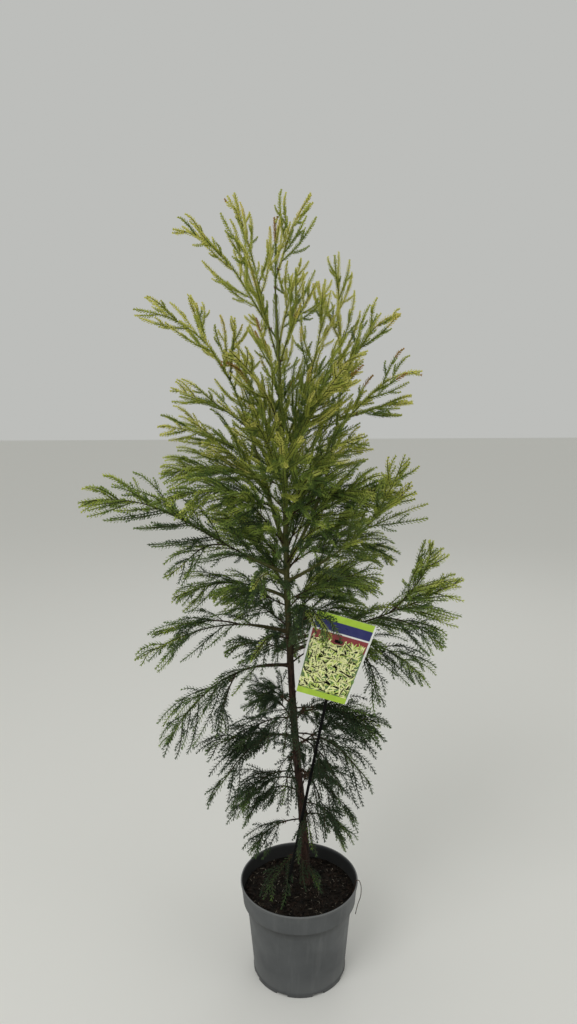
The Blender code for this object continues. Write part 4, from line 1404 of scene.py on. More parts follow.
def swell_trunk(piece, points, settings):
    """Root ridges at the soil and a collar under each branch."""
    corners = mesh_points(piece)
    line = np.array([tuple(point) for point in points])
    centre = np.stack([np.interp(corners[:, 2], line[:, 2], line[:, axis]) for axis in range(2)], axis=1)
    out = corners[:, :2] - centre
    distance = np.maximum(np.linalg.norm(out, axis=1), 1e-6)
    out /= distance[:, None]
    bearing = np.arctan2(out[:, 1], out[:, 0])
    top, height, count = FLARE
    low = np.clip((top - corners[:, 2]) / height, 0, 1) ** 2
    ridges = 0.5 + 0.5 * np.cos(count * bearing + 2.4 * np.sin(bearing))
    push = settings.root_flare * low * ridges * (distance > 0.002)
    swell, reach = COLLAR
    for limb in plan_branches():
        if BRANCHES[limb.name].parent == "trunk":
            apart = np.linalg.norm(corners - np.array(limb.line[0]), axis=1)
            push = push + swell * np.exp(-((apart / reach) ** 2))
    corners[:, :2] += out * push[:, None]
    set_points(piece, corners)


class CEDAR_OT_raise_limbs(bpy.types.Operator):
    """Raise the trunk and the boughs with their bark"""

    bl_idname = "cedar.raise_limbs"
    bl_label = "Raise trunk and boughs"

    def execute(self, context):
        settings = context.scene.cedar.limbs
        colours = [tuple(settings.bark_dark), tuple(settings.bark_red), tuple(settings.bark_grey)]
        bark = bark_finish("trunk_bark", *colours, 0.16, tuple(settings.stem_green))
        bough_bark = bark_finish("bough_bark", *colours, 0.45, tuple(settings.stem_green))

        line, _ = trunk_line(BARK_STEPS)
        line = [line[0] - UP * TRUNK_SUNK] + line
        points = part_of(line, 0.0, 1.0, TRUNK_STEP)
        radii = [trunk_radius(point.z) for point in points]
        trunk = limb_curve("bark_trunk", points, radii, TRUNK_SIDES)
        swell_trunk(trunk, points, settings)
        raise_bark(trunk, settings.bark_relief, UP, TRUNK_STRETCH)
        trunk.data.materials.append(bark)
        smooth(trunk, 60)
        into_frame(trunk, "trunk", "trunk")

        for limb in plan_branches():
            if not limb.bare:
                continue
            stretch = [limb.root] + part_of(limb.line, 0.0, limb.bare, BOUGH_STEP)
            shares = np.linspace(0, 1, len(stretch))
            swell, foot = BOUGH_FOOT
            tapers = [bough_radius(share) * (1 + swell * max(0.0, foot - share) / foot) for share in shares]
            last = stretch[-1] + (stretch[-1] - stretch[-2]) * 1.5
            bough = limb_curve("bark_" + limb.name, stretch + [last], tapers + [STEM_RADIUS], BOUGH_SIDES)
            way = (last - stretch[0]).normalized()
            raise_bark(bough, settings.bark_relief * 0.5, way, BOUGH_STRETCH)
            bough.data.materials.append(bough_bark)
            smooth(bough, 60)
            into_frame(bough, "bough", "bough_" + limb.name)

        stubs = Wood()
        source = random.Random(STUB_SEED)
        lowest, span = STUB_HEIGHTS
        for _ in range(STUB_COUNT):
            height = lowest + span * source.random() ** 1.3
            centre, radius = at_height(points, radii, height)
            bearing = source.uniform(0, 2 * math.pi)
            out = Vector((math.cos(bearing), math.sin(bearing), source.uniform(0.1, 0.9))).normalized()
            size = source.uniform(*STUB_SIZES)
            foot = centre + out * LEVEL * radius * 0.8
            stubs.tube([foot, foot + out * size * 0.6, foot + (out + UP * 0.2) * size], STUB_RADII, 5)
        piece = stubs.piece("trunk_stubs", bark_finish("stub_bark", *colours, 0.5))
        into_frame(piece, "trunk", "trunk")
        return {"FINISHED"}


# -------- pot, soil and wire


# Bark chips and pale flecks: the seed, how far out they lie, the room that they leave round the trunk, how
# far they tilt, in radians, and the spans of their three sizes and of their lift off the soil.
SOIL_SEED = 3
CHIP_REACH = 0.1035
TRUNK_ROOM = 0.015
CHIP_TILT = 0.35
CHIP_SIZES = ((0.002, 0.0095), (0.0015, 0.0045), (0.0008, 0.0024))
CHIP_LIFT = (0.0, 0.0016)
FLECK_SIZES = ((0.001, 0.009), (0.0004, 0.0010), (0.0003, 0.0006))
FLECK_LIFT = (0.001, 0.002)
# Fallen needles on the soil.
LITTER_COUNT = 700
LITTER_REACH = 0.10
LITTER_LIFT = (0.0006, 0.0022)
LITTER_SIZES = (0.004, 0.009)
LITTER_WIDTH = 0.0009
# The soil's relief: name, size and height.
SOIL_LAYERS = [("clods", 0.011, 0.0042), ("crumbs", 0.0034, 0.0026)]


def pot_radius(height):
    """The outer wall's radius at a height."""
    rows = sorted(POT_PROFILE)
    return float(np.interp(height, [row[0] for row in rows], [row[1] for row in rows]))


def wall_rings(heights, inside=0.0):
    """Rings on the pot's outer wall, or a distance inside it."""
    return [(pot_radius(height) - inside, height) for height in heights]


def ring_by_ring(name, rings, sides):
    """A turned closed body: a circle extruded and resized from ring to ring, (radius, height) each."""
    deselect_all()
    radius, height = rings[0]
    bpy.ops.mesh.primitive_circle_add(
        vertices=sides, radius=radius, location=(0, 0, height), fill_type="NOTHING"
    )
    piece = bpy.context.object
    piece.name = piece.data.name = name
    bpy.ops.object.mode_set(mode="EDIT")
    bpy.ops.mesh.select_all(action="SELECT")
    for next_radius, next_height in rings[1:]:
        rise = {"value": (0, 0, next_height - height)}
        bpy.ops.mesh.extrude_region_move(TRANSFORM_OT_translate=rise)
        grow = next_radius / radius
        bpy.ops.transform.resize(value=(grow, grow, 1), center_override=(0, 0, next_height))
        radius, height = next_radius, next_height
    bpy.ops.mesh.select_all(action="SELECT")
    bpy.ops.mesh.fill_holes(sides=0)
    bpy.ops.object.mode_set(mode="OBJECT")
    apply_place(piece)
    face_outwards(piece)
    return piece


def cut_away(piece, cutters):
    """Cuts the cutters out of a piece, and removes them."""
    deselect_all()
    for cutter in cutters:
        cutter.select_set(True)
    bpy.context.view_layer.objects.active = cutters[0]
    bpy.ops.object.transform_apply(location=True, rotation=True, scale=True)
    if len(cutters) > 1:
        bpy.ops.object.join()
    cutter = bpy.context.object
    cut = piece.modifiers.new("Cut", "BOOLEAN")
    cut.operation = "DIFFERENCE"
    cut.solver = "EXACT"
    cut.object = cutter
    apply_modifiers(piece)
    bpy.data.objects.remove(cutter)


def pot_finish(settings):
    """Grey plastic with dusty streaks, a painted highlight on the lip, and painted shade on the wall inside
    the rim, under the collar and round the foot.
    """
    grey, pale, shadowed = tuple(settings.pot_grey), tuple(settings.pot_pale), tuple(settings.pot_shade)
    finish = Finish("pot_plastic", grey, 0.5, 0.45)
    clouds = finish.noise(14.0, 5.0, 0.6)
    streaks = finish.noise(60.0, 4.0, 0.6, finish.mapped((1.0, 1.0, 0.06)))
    specks = finish.noise(520.0, 3.0, 0.6)
    colour = finish.mix(finish.steps(clouds, 0.35, 0.7), grey, shaded(grey, 0.78))
    colour = finish.mix(finish.steps(streaks, 0.52, 0.80, 0.0, 0.40), colour, pale)
    low = finish.steps(finish.height(), 0.045, 0.0, 0.0, 0.6)
    colour = finish.mix(finish.times(low, finish.steps(clouds, 0.35, 0.65)), colour, pale)
    # Painted highlight: the top of the lip is painted pale all round.
    high = finish.steps(finish.height(), 0.1835, 0.1868, 0.0, 0.85)
    colour = finish.mix(high, colour, pale)
    dirt = finish.steps(specks, 0.70, 0.76)
    colour = finish.mix(dirt, colour, (0.030, 0.022, 0.016, 1.0))
    # Painted shade on the wall inside the rim above the soil, strongest low down and fading towards the lip.
    (top, wide), (foot, narrow) = COLLAR_WALL
    slope = (wide - narrow) / (top - foot)
    outside = narrow - foot * slope
    inside = finish.steps(finish.inward(slope), outside - POT_WALL * 0.3, outside - POT_WALL * 0.7)
    inside = finish.times(inside, finish.steps(finish.height(), 0.1500, 0.1510))
    inside = finish.times(inside, finish.steps(finish.height(), 0.1862, 0.1800, 0.2, 0.86))
    colour = finish.mix(inside, colour, shadowed)
    # Painted shade under the collar's lower edge, broken up by the clouds.
    under = finish.steps(finish.height(), 0.1290, 0.1440, 0.0, 0.55)
    under = finish.times(under, finish.steps(clouds, 0.2, 0.5, 0.6, 1.0))
    under = finish.times(under, finish.steps(finish.height(), 0.1490, 0.1470))
    colour = finish.mix(under, colour, shadowed)
    # Painted shadow on the foot: the pot darkens from just above the foot ring down.
    finish.base(finish.mix(finish.steps(finish.height(), 0.0094, 0.0082, 0.0, 0.4), colour, shadowed))
    finish.roughness(finish.steps(clouds, 0.3, 0.7, 0.42, 0.60))
    finish.bump(finish.noise(700.0, 2.0), 0.00012, 0.5)
    return finish.material


class CEDAR_OT_turn_pot(bpy.types.Operator):
    """Turn the pot with its lip, collar and notched foot"""

    bl_idname = "cedar.turn_pot"
    bl_label = "Turn pot"

    def execute(self, context):
        settings = context.scene.cedar.pot
        rings = [(0.004, POT_FLOOR), (0.040, POT_FLOOR), (pot_radius(0.012) - POT_WALL - 0.003, POT_FLOOR)]
        rings += [(pot_radius(0.0125) - POT_WALL, POT_FLOOR + 0.003)]
        rings += wall_rings(INSIDE_HEIGHTS + [0.165, 0.181], POT_WALL) + LIP_RINGS
        rings += wall_rings([0.178, 0.170, 0.160]) + COLLAR_RINGS
        rings += wall_rings([0.130, 0.112, 0.08, 0.045, 0.012]) + FOOT_RINGS
        pot = ring_by_ring("pot_shell", rings, settings.sides)

        cutters = []
        for index in range(NOTCH_COUNT):
            bearing = 2 * math.pi * (index + 0.5) / NOTCH_COUNT
            out = Vector((math.cos(bearing), math.sin(bearing), 0.0))
            bpy.ops.mesh.primitive_cube_add(size=1.0, location=out * pot_radius(0), rotation=(0, 0, bearing))
            cutter = bpy.context.object
            cutter.scale = (2 * NOTCH_DEPTH, NOTCH_WIDTH, 2 * NOTCH_HEIGHT)
            cutters.append(cutter)
            drain = out * DRAIN_REACH
            bpy.ops.mesh.primitive_cylinder_add(vertices=20, radius=DRAIN_RADIUS, depth=0.02, location=drain)
            cutters.append(bpy.context.object)
        cut_away(pot, cutters)
        bevel = pot.modifiers.new("Edges", "BEVEL")
        bevel.width = 0.00035
        bevel.segments = 2
        bevel.limit_method = "ANGLE"
        bevel.angle_limit = math.radians(50)
        apply_modifiers(pot)
        pot.data.materials.append(pot_finish(settings))
        smooth(pot, 38)
        into_frame(pot, "pot", "pot")
        return {"FINISHED"}


def soil_height(distance):
    """How high the soil stands at a distance from the pot's axis."""
    edge = pot_radius(SOIL_EDGE) - POT_WALL
    return float(np.interp(distance, [0, SOIL_FLAT, edge], [SOIL_TOP, SOIL_TOP, SOIL_EDGE]))


def block_arrays(source, count, sizes, lift):
    """Small irregular blocks that lie on the soil, each of twelve faces."""
    corners = np.array([(x, y, z) for x in (-1, 1) for y in (-1, 1) for z in (-1, 1)], float) / 2
    faces = np.array(
        [(0, 1, 3), (0, 3, 2), (4, 6, 7), (4, 7, 5), (0, 4, 5), (0, 5, 1)]
        + [(2, 3, 7), (2, 7, 6), (0, 2, 6), (0, 6, 4), (1, 5, 7), (1, 7, 3)]
    )
    points, sides = [], []
    _, trunk_x, trunk_y, _ = TRUNK[0]
    for _ in range(count):
        distance, bearing = CHIP_REACH * math.sqrt(source.uniform()), source.uniform(0, 2 * math.pi)
        place = np.array((distance * math.cos(bearing), distance * math.sin(bearing), 0.0))
        if np.hypot(place[0] - trunk_x, place[1] - trunk_y) < TRUNK_ROOM:
            continue
        place[2] = soil_height(distance) + source.uniform(*lift)
        size = np.array([source.uniform(*span) for span in sizes])
        shape = (corners + source.uniform(-0.16, 0.16, corners.shape)) * size
        tilt = Matrix.Rotation(source.uniform(0, TURN), 3, "Z")
        tilt = tilt @ Matrix.Rotation(source.normal(0, CHIP_TILT), 3, "X")
        turn = np.array(tilt @ Matrix.Rotation(source.normal(0, CHIP_TILT), 3, "Y"))
        points.append(shape @ turn.T + place)
        sides.append(faces + 8 * (len(points) - 1))
    points, sides = np.concatenate(points), np.concatenate(sides)
    return points, outward(points, sides)


def speckled_finish(name, dark, light, scale, roughness):
    """Dark and light grains, with darker lumps among them."""
    finish = Finish(name, tuple(light), roughness, 0.2)
    grain = finish.noise(scale, 5.0, 0.6)
    lumps = finish.noise(scale * 0.16, 3.0)
    colour = finish.mix(finish.steps(grain, 0.36, 0.66), tuple(dark), tuple(light))
    finish.base(finish.mix(finish.steps(lumps, 0.38, 0.66), colour, shaded(dark, 0.45)))
    finish.roughness(finish.steps(grain, 0.3, 0.7, roughness, roughness - 0.15))
    finish.bump(grain, 0.0009)
    return finish.material


class CEDAR_OT_fill_soil(bpy.types.Operator):
    """Fill the pot with compost, bark chips and litter"""

    bl_idname = "cedar.fill_soil"
    bl_label = "Fill soil"

    def execute(self, context):
        settings = context.scene.cedar.pot
        keep = POT_WALL + GAP
        rings = [(0.004, POT_FLOOR + GAP), (pot_radius(0.012) - keep - 0.003, POT_FLOOR + GAP)]
        rings += wall_rings(INSIDE_HEIGHTS + [SOIL_EDGE], keep)
        edge = rings[-1][0]
        rings += [(edge * share, soil_height(edge * share)) for share in np.linspace(0.965, 0.035, 30)]
        soil = ring_by_ring("compost", rings, 120)
        top = soil.vertex_groups.new(name="top")
        corners = mesh_points(soil)
        inside = np.hypot(corners[:, 0], corners[:, 1]) < edge - 0.001
        top.add([int(i) for i in np.nonzero((corners[:, 2] > SOIL_EDGE) & inside)[0]], 1.0, "REPLACE")
        for name, size, height in SOIL_LAYERS:
            texture = bpy.data.textures.new("soil_" + name, type="CLOUDS")
            texture.noise_scale = size
            displace = soil.modifiers.new(name, "DISPLACE")
            displace.texture = texture
            displace.texture_coords = "LOCAL"
            displace.direction = "Z"
            displace.strength = height
            displace.mid_level = 0.6
            displace.vertex_group = "top"
        apply_modifiers(soil)
        compost = speckled_finish("compost", settings.soil_dark, settings.soil_brown, 420.0, 0.95)
        soil.data.materials.append(compost)
        smooth(soil, 40)
        into_frame(soil, "soil", "soil")

        source = np.random.RandomState(SOIL_SEED)
        chips = block_arrays(source, settings.chips, CHIP_SIZES, CHIP_LIFT)
        chip_finish = speckled_finish("bark_chips", settings.soil_dark, settings.chip_red, 260.0, 0.9)
        into_frame(mesh_piece("bark_chips", *chips, chip_finish), "soil", "soil")
        flecks = block_arrays(source, settings.flecks, FLECK_SIZES, FLECK_LIFT)
        straw = speckled_finish("straw", (0.15, 0.12, 0.08, 1.0), (0.42, 0.39, 0.32, 1.0), 300.0, 0.8)
        into_frame(mesh_piece("straw_flecks", *flecks, straw), "soil", "soil")

        count = LITTER_COUNT
        distance = LITTER_REACH * np.sqrt(source.uniform(size=count))
        bearing = source.uniform(0, 2 * math.pi, count)
        lift = np.array([soil_height(d) for d in distance]) + source.uniform(*LITTER_LIFT, count)
        roots = np.stack([distance * np.cos(bearing), distance * np.sin(bearing), lift], axis=1)
        turn = source.uniform(0, 2 * math.pi, count)
        way = np.stack([np.cos(turn), np.sin(turn), source.normal(0, 0.08, count)], axis=1)
        way /= np.linalg.norm(way, axis=1, keepdims=True)
        out = np.tile((0.0, 0.0, 1.0), (count, 1))
        out -= way * (out * way).sum(axis=1, keepdims=True)
        out /= np.linalg.norm(out, axis=1, keepdims=True)
        litter = Needles()
        sizes = source.uniform(*LITTER_SIZES, count)
        litter.add(roots, way, out, np.full(count, 0.1), sizes, np.full(count, LITTER_WIDTH))
        finish = needle_finish("litter", settings.soil_brown)
        for piece in litter.pieces("needle_litter", finish):
            into_frame(piece, "soil", "soil")
        return {"FINISHED"}


class CEDAR_OT_bend_wire(bpy.types.Operator):
    """Bend the thin wire over the pot's rim"""

    bl_idname = "cedar.bend_wire"
    bl_label = "Bend wire"

    def execute(self, context):
        settings = context.scene.cedar.pot
        out = Vector((math.cos(WIRE_BEARING), math.sin(WIRE_BEARING), 0.0))
        points = smooth_route([out * distance + UP * height for distance, height in WIRE_ROUTE], WIRE_STEPS)
        wire = limb_curve("hooked_wire", points, [WIRE_RADIUS] * len(points), WIRE_SIDES)
        finish = Finish("rusty_wire", tuple(settings.wire), 0.6, 0.4)
        rust = finish.noise(380.0, 4.0)
        rusty = (0.11, 0.045, 0.02, 1.0)
        finish.base(finish.mix(finish.steps(rust, 0.45, 0.62), tuple(settings.wire), rusty))
        finish.roughness(finish.steps(rust, 0.3, 0.7, 0.45, 0.8))
        finish.bump(rust, 0.0002)
        wire.data.materials.append(finish.material)
        smooth(wire, 50)
        into_frame(wire, "rim_wire", "rim_wire")
        return {"FINISHED"}


# -------- tag


# The card's bands from its top down: a share of its height, and the colour that fills it.
TAG_BANDS = [
    (0.080, "lime"),
    (0.195, "navy"),
    (0.215, "white"),
    (0.360, "maroon"),
    (0.930, "ground"),
    (1.0, "lime"),
]
# How far the stick's foot goes down into the soil, the parts that it is cut into, and its neck's radius.
STICK_SUNK = 0.012
STICK_PARTS = 12
NECK_RADIUS = 0.0014
TAG_COLOURS = ["white", "navy", "lime", "ground", "maroon"]
TAG_EDGE = 0.0035
TAG_CORNER = 0.0045
# The slot's middle, across and up from the card's, and its width and length.
TAG_SLOT = (0.0, 0.0305, 0.0056, 0.0142)
# The printed field that the leaves stay on, as shares of the card's height from its top, and the room that
# they leave at its sides and round the slot, to its side and below it.
LEAF_FIELD = (0.929, 0.240)
LEAF_MARGIN = 0.0004
SLOT_ROOM = (0.0095, 0.0255)
# Fans of leaves on the tag: the seed, their rows and columns, the first row's height, their step down and
# across, how far they stray from it, the leaves of each shade in one, the spans of a leaf's length and
# width, and the points along it.
FAN_SEED = 21
FAN_ROWS = 8
FAN_COLUMNS = 7
FAN_TOP = 0.0215
FAN_STEP = (0.0120, 0.0150)
FAN_CHANCE = (0.0015, 0.0018)
FAN_LEAVES = [("leaf_dark", 4), ("leaf_light", 6), ("leaf_pale", 6)]
LEAF_LENGTHS = (0.011, 0.022)
LEAF_WIDTHS = (0.0020, 0.0034)
LEAF_POINTS = 6
# Leaves that would leave the field are tried again at these shares of their size.
LEAF_TRIES = (1.0, 0.7, 0.45)
# How far the leaves' face stands off the card, and how much further each shade and each row does, and
# how thick a leaf is.
LEAF_LIFT = 0.00012
SHADE_LIFT = 0.00011
ROW_LIFT = 0.00005
LEAF_THICKNESS = 0.00008


def tag_width(share):
    """The card's width at a share of its height from the top."""
    return TAG_TOP_WIDTH + (TAG_BOTTOM_WIDTH - TAG_TOP_WIDTH) * share


def onto_card(piece):
    """Stands a piece that was made lying flat, with its face up, where the card hangs."""
    stand = Matrix.Rotation(math.radians(90), 4, "X")
    piece.data.transform(Matrix.Translation(TAG_MIDDLE) @ Matrix.Rotation(TAG_TURN, 4, "Y") @ stand)
    piece.data.update()


def card_finish(name, colour):
    finish = Finish("tag_" + name, tuple(colour), 0.32, 0.5)
    wear = finish.noise(90.0, 4.0, 0.6)
    faded = [min(1.0, part * 1.12 + 0.012) for part in colour[:3]] + [1.0]
    finish.base(finish.mix(finish.steps(wear, 0.45, 0.75), tuple(colour), faded))
    finish.roughness(finish.steps(wear, 0.3, 0.7, 0.26, 0.44))
    finish.bump(finish.noise(700.0, 2.0), 0.00004)
    return finish.material


def leaf_arrays(source, roots, field, length, width, lift):
    """Thin lens-shaped leaves that fan out from their roots, lying flat, row above row."""
    count = LEAF_POINTS
    share = np.linspace(0, 1, count)
    points, faces = [], []
    for across, up, row in roots:
        lean = source.uniform(-1.9, 1.9)
        size, wide = source.uniform(*length), source.uniform(*width)
        turn = lean + (source.normal(0, 0.25) + lean * 0.30) * (share - 0.3)
        for shrink in LEAF_TRIES:
            step = shrink * size / (count - 1)
            x = across + np.concatenate([[0], np.cumsum(np.sin(turn[:-1]) * step)])
            y = up + np.concatenate([[0], np.cumsum(np.cos(turn[:-1]) * step)])
            if field(x, y):
                break
        else:
            continue
        half = wide / 2 * np.sin(np.pi * np.clip(share * 0.94 + 0.05, 0, 1)) ** 0.8
        front = lift + ROW_LIFT * row
        sides = []
        for level in (front, front - LEAF_THICKNESS):
            for hand in (-1, 1):
                edge_x, edge_y = x + hand * half * np.cos(turn), y - hand * half * np.sin(turn)
                sides.append(np.stack([edge_x, edge_y, np.full(count, level)], axis=1))
        start = 4 * count * len(points)
        points.append(np.concatenate(sides))
        for step in range(count - 1):
            a, b, c, d = (start + side * count + step for side in range(4))
            for one, two in ((a, b), (b, d), (d, c), (c, a)):
                faces += [(one, two, two + 1), (one, two + 1, one + 1)]
        for end, flip in ((start, 1), (start + count - 1, -1)):
            ring = [end + side * count for side in (0, 2, 3, 1)][::flip]
            faces += [(ring[0], ring[1], ring[2]), (ring[0], ring[2], ring[3])]
    points = np.concatenate(points)
    return points, outward(points, np.array(faces))


def on_leaf_field(x, y):
    """Whether a leaf's middle line stays on the printed field and clear of the slot."""
    slope = (TAG_TOP_WIDTH - TAG_BOTTOM_WIDTH) / 2
    half = tag_width(0.5) / 2 - slope * (-y / TAG_HEIGHT) - TAG_EDGE - LEAF_MARGIN
    low, high = (TAG_HEIGHT * (0.5 - share) for share in LEAF_FIELD)
    slot = (np.abs(x) < SLOT_ROOM[0]) & (y > SLOT_ROOM[1])
    return bool(((np.abs(x) < half) & (y > low) & (y < high)).all() and not slot.any())


class CEDAR_OT_hang_tag(bpy.types.Operator):
    """Hang the printed tag on its black stick"""

    bl_idname = "cedar.hang_tag"
    bl_label = "Hang tag"

    def execute(self, context):
        settings = context.scene.cedar.tag
        self.make_card(settings)
        self.make_leaves(settings)
        self.make_stick(settings)
        return {"FINISHED"}

    def make_card(self, settings):
        """The tapered card with round corners, cut into its bands, with the slot through it."""
        deselect_all()
        bpy.ops.mesh.primitive_plane_add(size=1.0)
        card = bpy.context.object
        card.name = card.data.name = "printed_card"
        bpy.ops.object.mode_set(mode="EDIT")
        bpy.ops.mesh.select_all(action="SELECT")
        bpy.ops.transform.resize(value=(TAG_BOTTOM_WIDTH, TAG_HEIGHT, 1), center_override=(0, 0, 0))
        bpy.ops.mesh.select_all(action="DESELECT")
        bpy.ops.object.mode_set(mode="OBJECT")
        grow = TAG_TOP_WIDTH / TAG_BOTTOM_WIDTH
        for corner in card.data.vertices:
            corner.select = corner.co.y > 0
        bpy.ops.object.mode_set(mode="EDIT")
        bpy.ops.mesh.select_mode(type="VERT")
        bpy.ops.transform.resize(value=(grow, 1, 1), center_override=(0, 0, 0))
        bpy.ops.mesh.select_all(action="SELECT")
        bpy.ops.mesh.bevel(offset=TAG_CORNER, segments=5, affect="VERTICES")
        for share, _ in TAG_BANDS[:-1]:
            bpy.ops.mesh.select_all(action="SELECT")
            height = TAG_HEIGHT * (0.5 - share)
            bpy.ops.mesh.bisect(plane_co=(0, height, 0), plane_no=(0, 1, 0))
        slope = (TAG_TOP_WIDTH - TAG_BOTTOM_WIDTH) / 2 / TAG_HEIGHT
        for hand in (-1, 1):
            bpy.ops.mesh.select_all(action="SELECT")
            inner = (hand * (tag_width(0.5) / 2 - TAG_EDGE), 0, 0)
            bpy.ops.mesh.bisect(plane_co=inner, plane_no=(hand, -slope, 0))
        bpy.ops.mesh.select_all(action="SELECT")
        bpy.ops.mesh.extrude_region_move(TRANSFORM_OT_translate={"value": (0, 0, -TAG_THICKNESS)})
        bpy.ops.mesh.select_all(action="SELECT")
        bpy.ops.transform.translate(value=(0, 0, TAG_THICKNESS / 2))
        bpy.ops.object.mode_set(mode="OBJECT")
        face_outwards(card)
        across, up, long, wide = TAG_SLOT
        bpy.ops.mesh.primitive_cube_add(size=1.0, location=(across, up, 0))
        slot = bpy.context.object
        slot.scale = (wide, long, 0.01)
        cut_away(card, [slot])
        for name in TAG_COLOURS:
            card.data.materials.append(card_finish(name, getattr(settings, name)))
        for face in card.data.polygons:
            share = 0.5 - face.center.y / TAG_HEIGHT
            edge = abs(face.center.x) > tag_width(share) / 2 - TAG_EDGE
            if face.normal.z > 0.9 and not edge:
                band = next((name for top, name in TAG_BANDS if share < top), "lime")
                face.material_index = TAG_COLOURS.index(band)
        smooth(card, 30)
        onto_card(card)
        into_frame(card, "tag_card", "tag_card")

    def make_leaves(self, settings):
        """Fans of leaves in staggered rows, the lower rows over the upper."""
        down, over = FAN_STEP
        stray_down, stray_over = FAN_CHANCE
        for shade, (name, count) in enumerate(FAN_LEAVES):
            source = np.random.RandomState(FAN_SEED + shade)
            roots = []
            for row in range(FAN_ROWS):
                for column in range(FAN_COLUMNS):
                    place = column - FAN_COLUMNS / 2 + 0.25 + 0.5 * (row % 2)
                    x = place * over + source.normal(0, stray_over)
                    y = FAN_TOP - row * down + source.normal(0, stray_down)
                    if on_leaf_field(np.array([x]), np.array([y])):
                        roots += [(x, y, row)] * count
            lift = TAG_THICKNESS / 2 + LEAF_LIFT + SHADE_LIFT * shade
            leaves = leaf_arrays(source, roots, on_leaf_field, LEAF_LENGTHS, LEAF_WIDTHS, lift)
            piece = mesh_piece("tag_" + name, *leaves, card_finish(name, getattr(settings, name)))
            onto_card(piece)
            into_frame(piece, "tag_card", "tag_card")

    def make_stick(self, settings):
        """The flat stick from the soil up, its tab in the card's slot, and the neck between the two."""
        run = (TAG_STICK_HEAD - TAG_STICK_FOOT).normalized()
        lean = run.angle(UP)
        foot = TAG_STICK_FOOT + run * (GAP + TAG_STICK_WIDTH / 2 * math.sin(lean)) / math.cos(lean)
        foot = foot - run * STICK_SUNK
        across = Vector((0.0, 1.0, 0.0)).cross(run).normalized()
        turn = Matrix((across, run.cross(across), run)).transposed().to_4x4()
        deselect_all()
        bpy.ops.mesh.primitive_cube_add(size=1.0)
        stick = bpy.context.object
        stick.name = stick.data.name = "black_stick"
        long = (TAG_STICK_HEAD - foot).length
        bpy.ops.object.mode_set(mode="EDIT")
        bpy.ops.mesh.select_all(action="SELECT")
        bpy.ops.transform.resize(value=(TAG_STICK_WIDTH, TAG_STICK_DEPTH, long), center_override=(0, 0, 0))
        bpy.ops.mesh.bevel(offset=0.0007, segments=3, affect="EDGES")
        for step in range(1, STICK_PARTS):
            bpy.ops.mesh.select_all(action="SELECT")
            bpy.ops.mesh.bisect(plane_co=(0, 0, long * (step / STICK_PARTS - 0.5)), plane_no=(0, 0, 1))
        bpy.ops.object.mode_set(mode="OBJECT")
        face_outwards(stick)
        stick.data.transform(Matrix.Translation((foot + TAG_STICK_HEAD) / 2) @ turn)
        finish = Finish("stick_plastic", tuple(settings.stick), 0.7, 0.1)
        scuffs = finish.noise(160.0, 4.0, 0.6)
        scuffed = (0.010, 0.010, 0.010, 1.0)
        finish.base(finish.mix(finish.steps(scuffs, 0.58, 0.8), tuple(settings.stick), scuffed))
        finish.roughness(finish.steps(scuffs, 0.3, 0.7, 0.60, 0.80))
        finish.bump(scuffs, 0.0001)
        stick.data.materials.append(finish.material)
        smooth(stick, 40)
        into_frame(stick, "tag_stick", "tag_stick")

        across, up, long, wide = TAG_SLOT
        bpy.ops.mesh.primitive_cube_add(size=1.0)
        tab = bpy.context.object
        tab.name = tab.data.name = "slot_tab"
        bpy.ops.object.mode_set(mode="EDIT")
        bpy.ops.mesh.select_all(action="SELECT")
        bpy.ops.transform.resize(value=(wide - 0.0012, long - 0.0010, 0.0056), center_override=(0, 0, 0))
        bpy.ops.mesh.bevel(offset=0.0008, segments=3, affect="EDGES")
        bpy.ops.mesh.select_all(action="SELECT")
        bpy.ops.transform.translate(value=(across, up, -0.0002))
        bpy.ops.object.mode_set(mode="OBJECT")
        face_outwards(tab)
        tab.data.materials.append(finish.material)
        smooth(tab, 40)
        onto_card(tab)
        into_frame(tab, "tag_stick", "tag_stick")

        card_way = Vector((math.sin(TAG_TURN), 0.0, math.cos(TAG_TURN)))
        head = TAG_STICK_HEAD - run * 0.004
        behind = TAG_MIDDLE + card_way * up + Vector((0.0, 0.0026, 0.0))
        neck = [head.lerp(behind, share) for share in np.linspace(0, 1, 7)]
        shank = limb_curve("stick_neck", neck, [NECK_RADIUS] * len(neck), WIRE_SIDES)
        shank.data.materials.append(finish.material)
        smooth(shank, 50)
        into_frame(shank, "tag_stick", "tag_stick")


# -------- stage


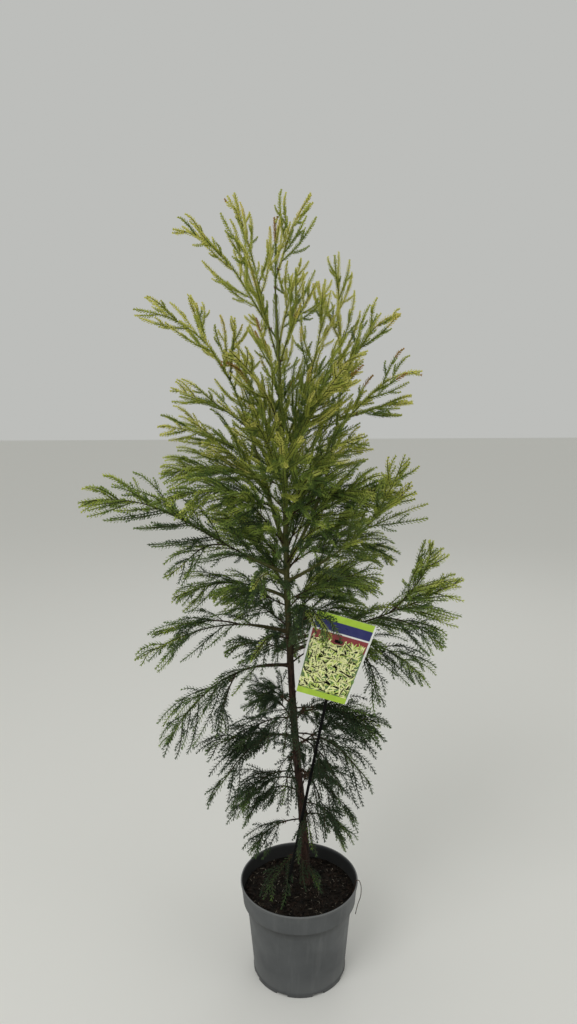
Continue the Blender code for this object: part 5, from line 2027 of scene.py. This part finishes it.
class CEDAR_OT_set_stage(bpy.types.Operator):
    """Set the pale floor, the soft light and the camera"""

    bl_idname = "cedar.set_stage"
    bl_label = "Set stage"

    def execute(self, context):
        settings = context.scene.cedar.stage
        deselect_all()
        bpy.ops.mesh.primitive_plane_add(size=24.0, location=(0, 0, 0))
        floor = context.object
        floor.name = floor.data.name = "floor"
        finish = Finish("pale_floor", tuple(settings.floor), 0.9, 0.1)
        finish.roughness(finish.steps(finish.noise(8.0), 0.3, 0.7, 0.85, 0.95))
        floor.data.materials.append(finish.material)

        world = bpy.data.worlds.new("surroundings")
        world.use_nodes = True
        sky = world.node_tree.nodes["Background"]
        sky.inputs["Color"].default_value = tuple(settings.sky)
        sky.inputs["Strength"].default_value = settings.sky_strength
        context.scene.world = world

        aim = Vector((0.0, 0.0, 0.75))
        lamps = (
            ("key_light", Vector((-1.3, -1.9, 2.9)), 1.8, settings.key_power),
            ("fill_light", Vector((2.2, -1.4, 1.6)), 2.0, settings.fill_power),
            ("back_light", Vector((0.6, 2.4, 2.4)), 1.8, settings.fill_power),
        )
        for name, place, size, power in lamps:
            bpy.ops.object.light_add(type="AREA", location=place)
            lamp = context.object
            lamp.name = lamp.data.name = name
            lamp.rotation_euler = (aim - place).to_track_quat("-Z", "Y").to_euler()
            lamp.data.shape = "DISK"
            lamp.data.size = size
            lamp.data.energy = power

        bpy.ops.object.camera_add(location=CAMERA_PLACE)
        camera = context.object
        camera.name = camera.data.name = "camera"
        camera.rotation_mode = "QUATERNION"
        pitch = Matrix.Rotation(math.radians(90 - CAMERA_PITCH), 4, "X")
        roll = Matrix.Rotation(math.radians(CAMERA_ROLL), 4, "Z")
        camera.rotation_quaternion = (pitch @ roll).to_quaternion()
        camera.data.lens = settings.lens
        camera.data.clip_start = 0.05
        context.scene.camera = camera
        context.scene.view_settings.view_transform = "Standard"
        return {"FINISHED"}


class CEDAR_PT_panel(bpy.types.Panel):
    """Lists the sizes and colours, and the steps that make the tree"""

    bl_idname = "CEDAR_PT_panel"
    bl_label = "Potted cedar"
    bl_space_type = "VIEW_3D"
    bl_region_type = "UI"
    bl_category = "Cedar"

    def draw(self, context):
        settings = context.scene.cedar
        for title, step, group in STEPS:
            box = self.layout.box()
            box.operator(step, text=title)
            if group:
                chosen = getattr(settings, group)
                for name in chosen.bl_rna.properties.keys():
                    if name not in ("rna_type", "name"):
                        box.prop(chosen, name)


STEPS = [
    ("Turn pot", "cedar.turn_pot", "pot"),
    ("Fill soil", "cedar.fill_soil", None),
    ("Bend wire", "cedar.bend_wire", None),
    ("Raise trunk and boughs", "cedar.raise_limbs", "limbs"),
    ("Grow foliage", "cedar.grow_foliage", "foliage"),
    ("Hang tag", "cedar.hang_tag", "tag"),
    ("Set stage", "cedar.set_stage", "stage"),
]

CLASSES = [
    FoliageSettings,
    LimbSettings,
    PotSettings,
    TagSettings,
    StageSettings,
    CedarSettings,
    CEDAR_OT_turn_pot,
    CEDAR_OT_fill_soil,
    CEDAR_OT_bend_wire,
    CEDAR_OT_raise_limbs,
    CEDAR_OT_grow_foliage,
    CEDAR_OT_hang_tag,
    CEDAR_OT_set_stage,
    CEDAR_PT_panel,
]


def register():
    for made in CLASSES:
        bpy.utils.register_class(made)
    bpy.types.Scene.cedar = PointerProperty(type=CedarSettings, name="Cedar", description="The potted cedar")


def unregister():
    del bpy.types.Scene.cedar
    for made in reversed(CLASSES):
        bpy.utils.unregister_class(made)


def main():
    register()
    bpy.ops.cedar.turn_pot()
    bpy.ops.cedar.fill_soil()
    bpy.ops.cedar.bend_wire()
    bpy.ops.cedar.raise_limbs()
    bpy.ops.cedar.grow_foliage()
    bpy.ops.cedar.hang_tag()
    bpy.ops.cedar.set_stage()


if __name__ == "__main__":
    main()
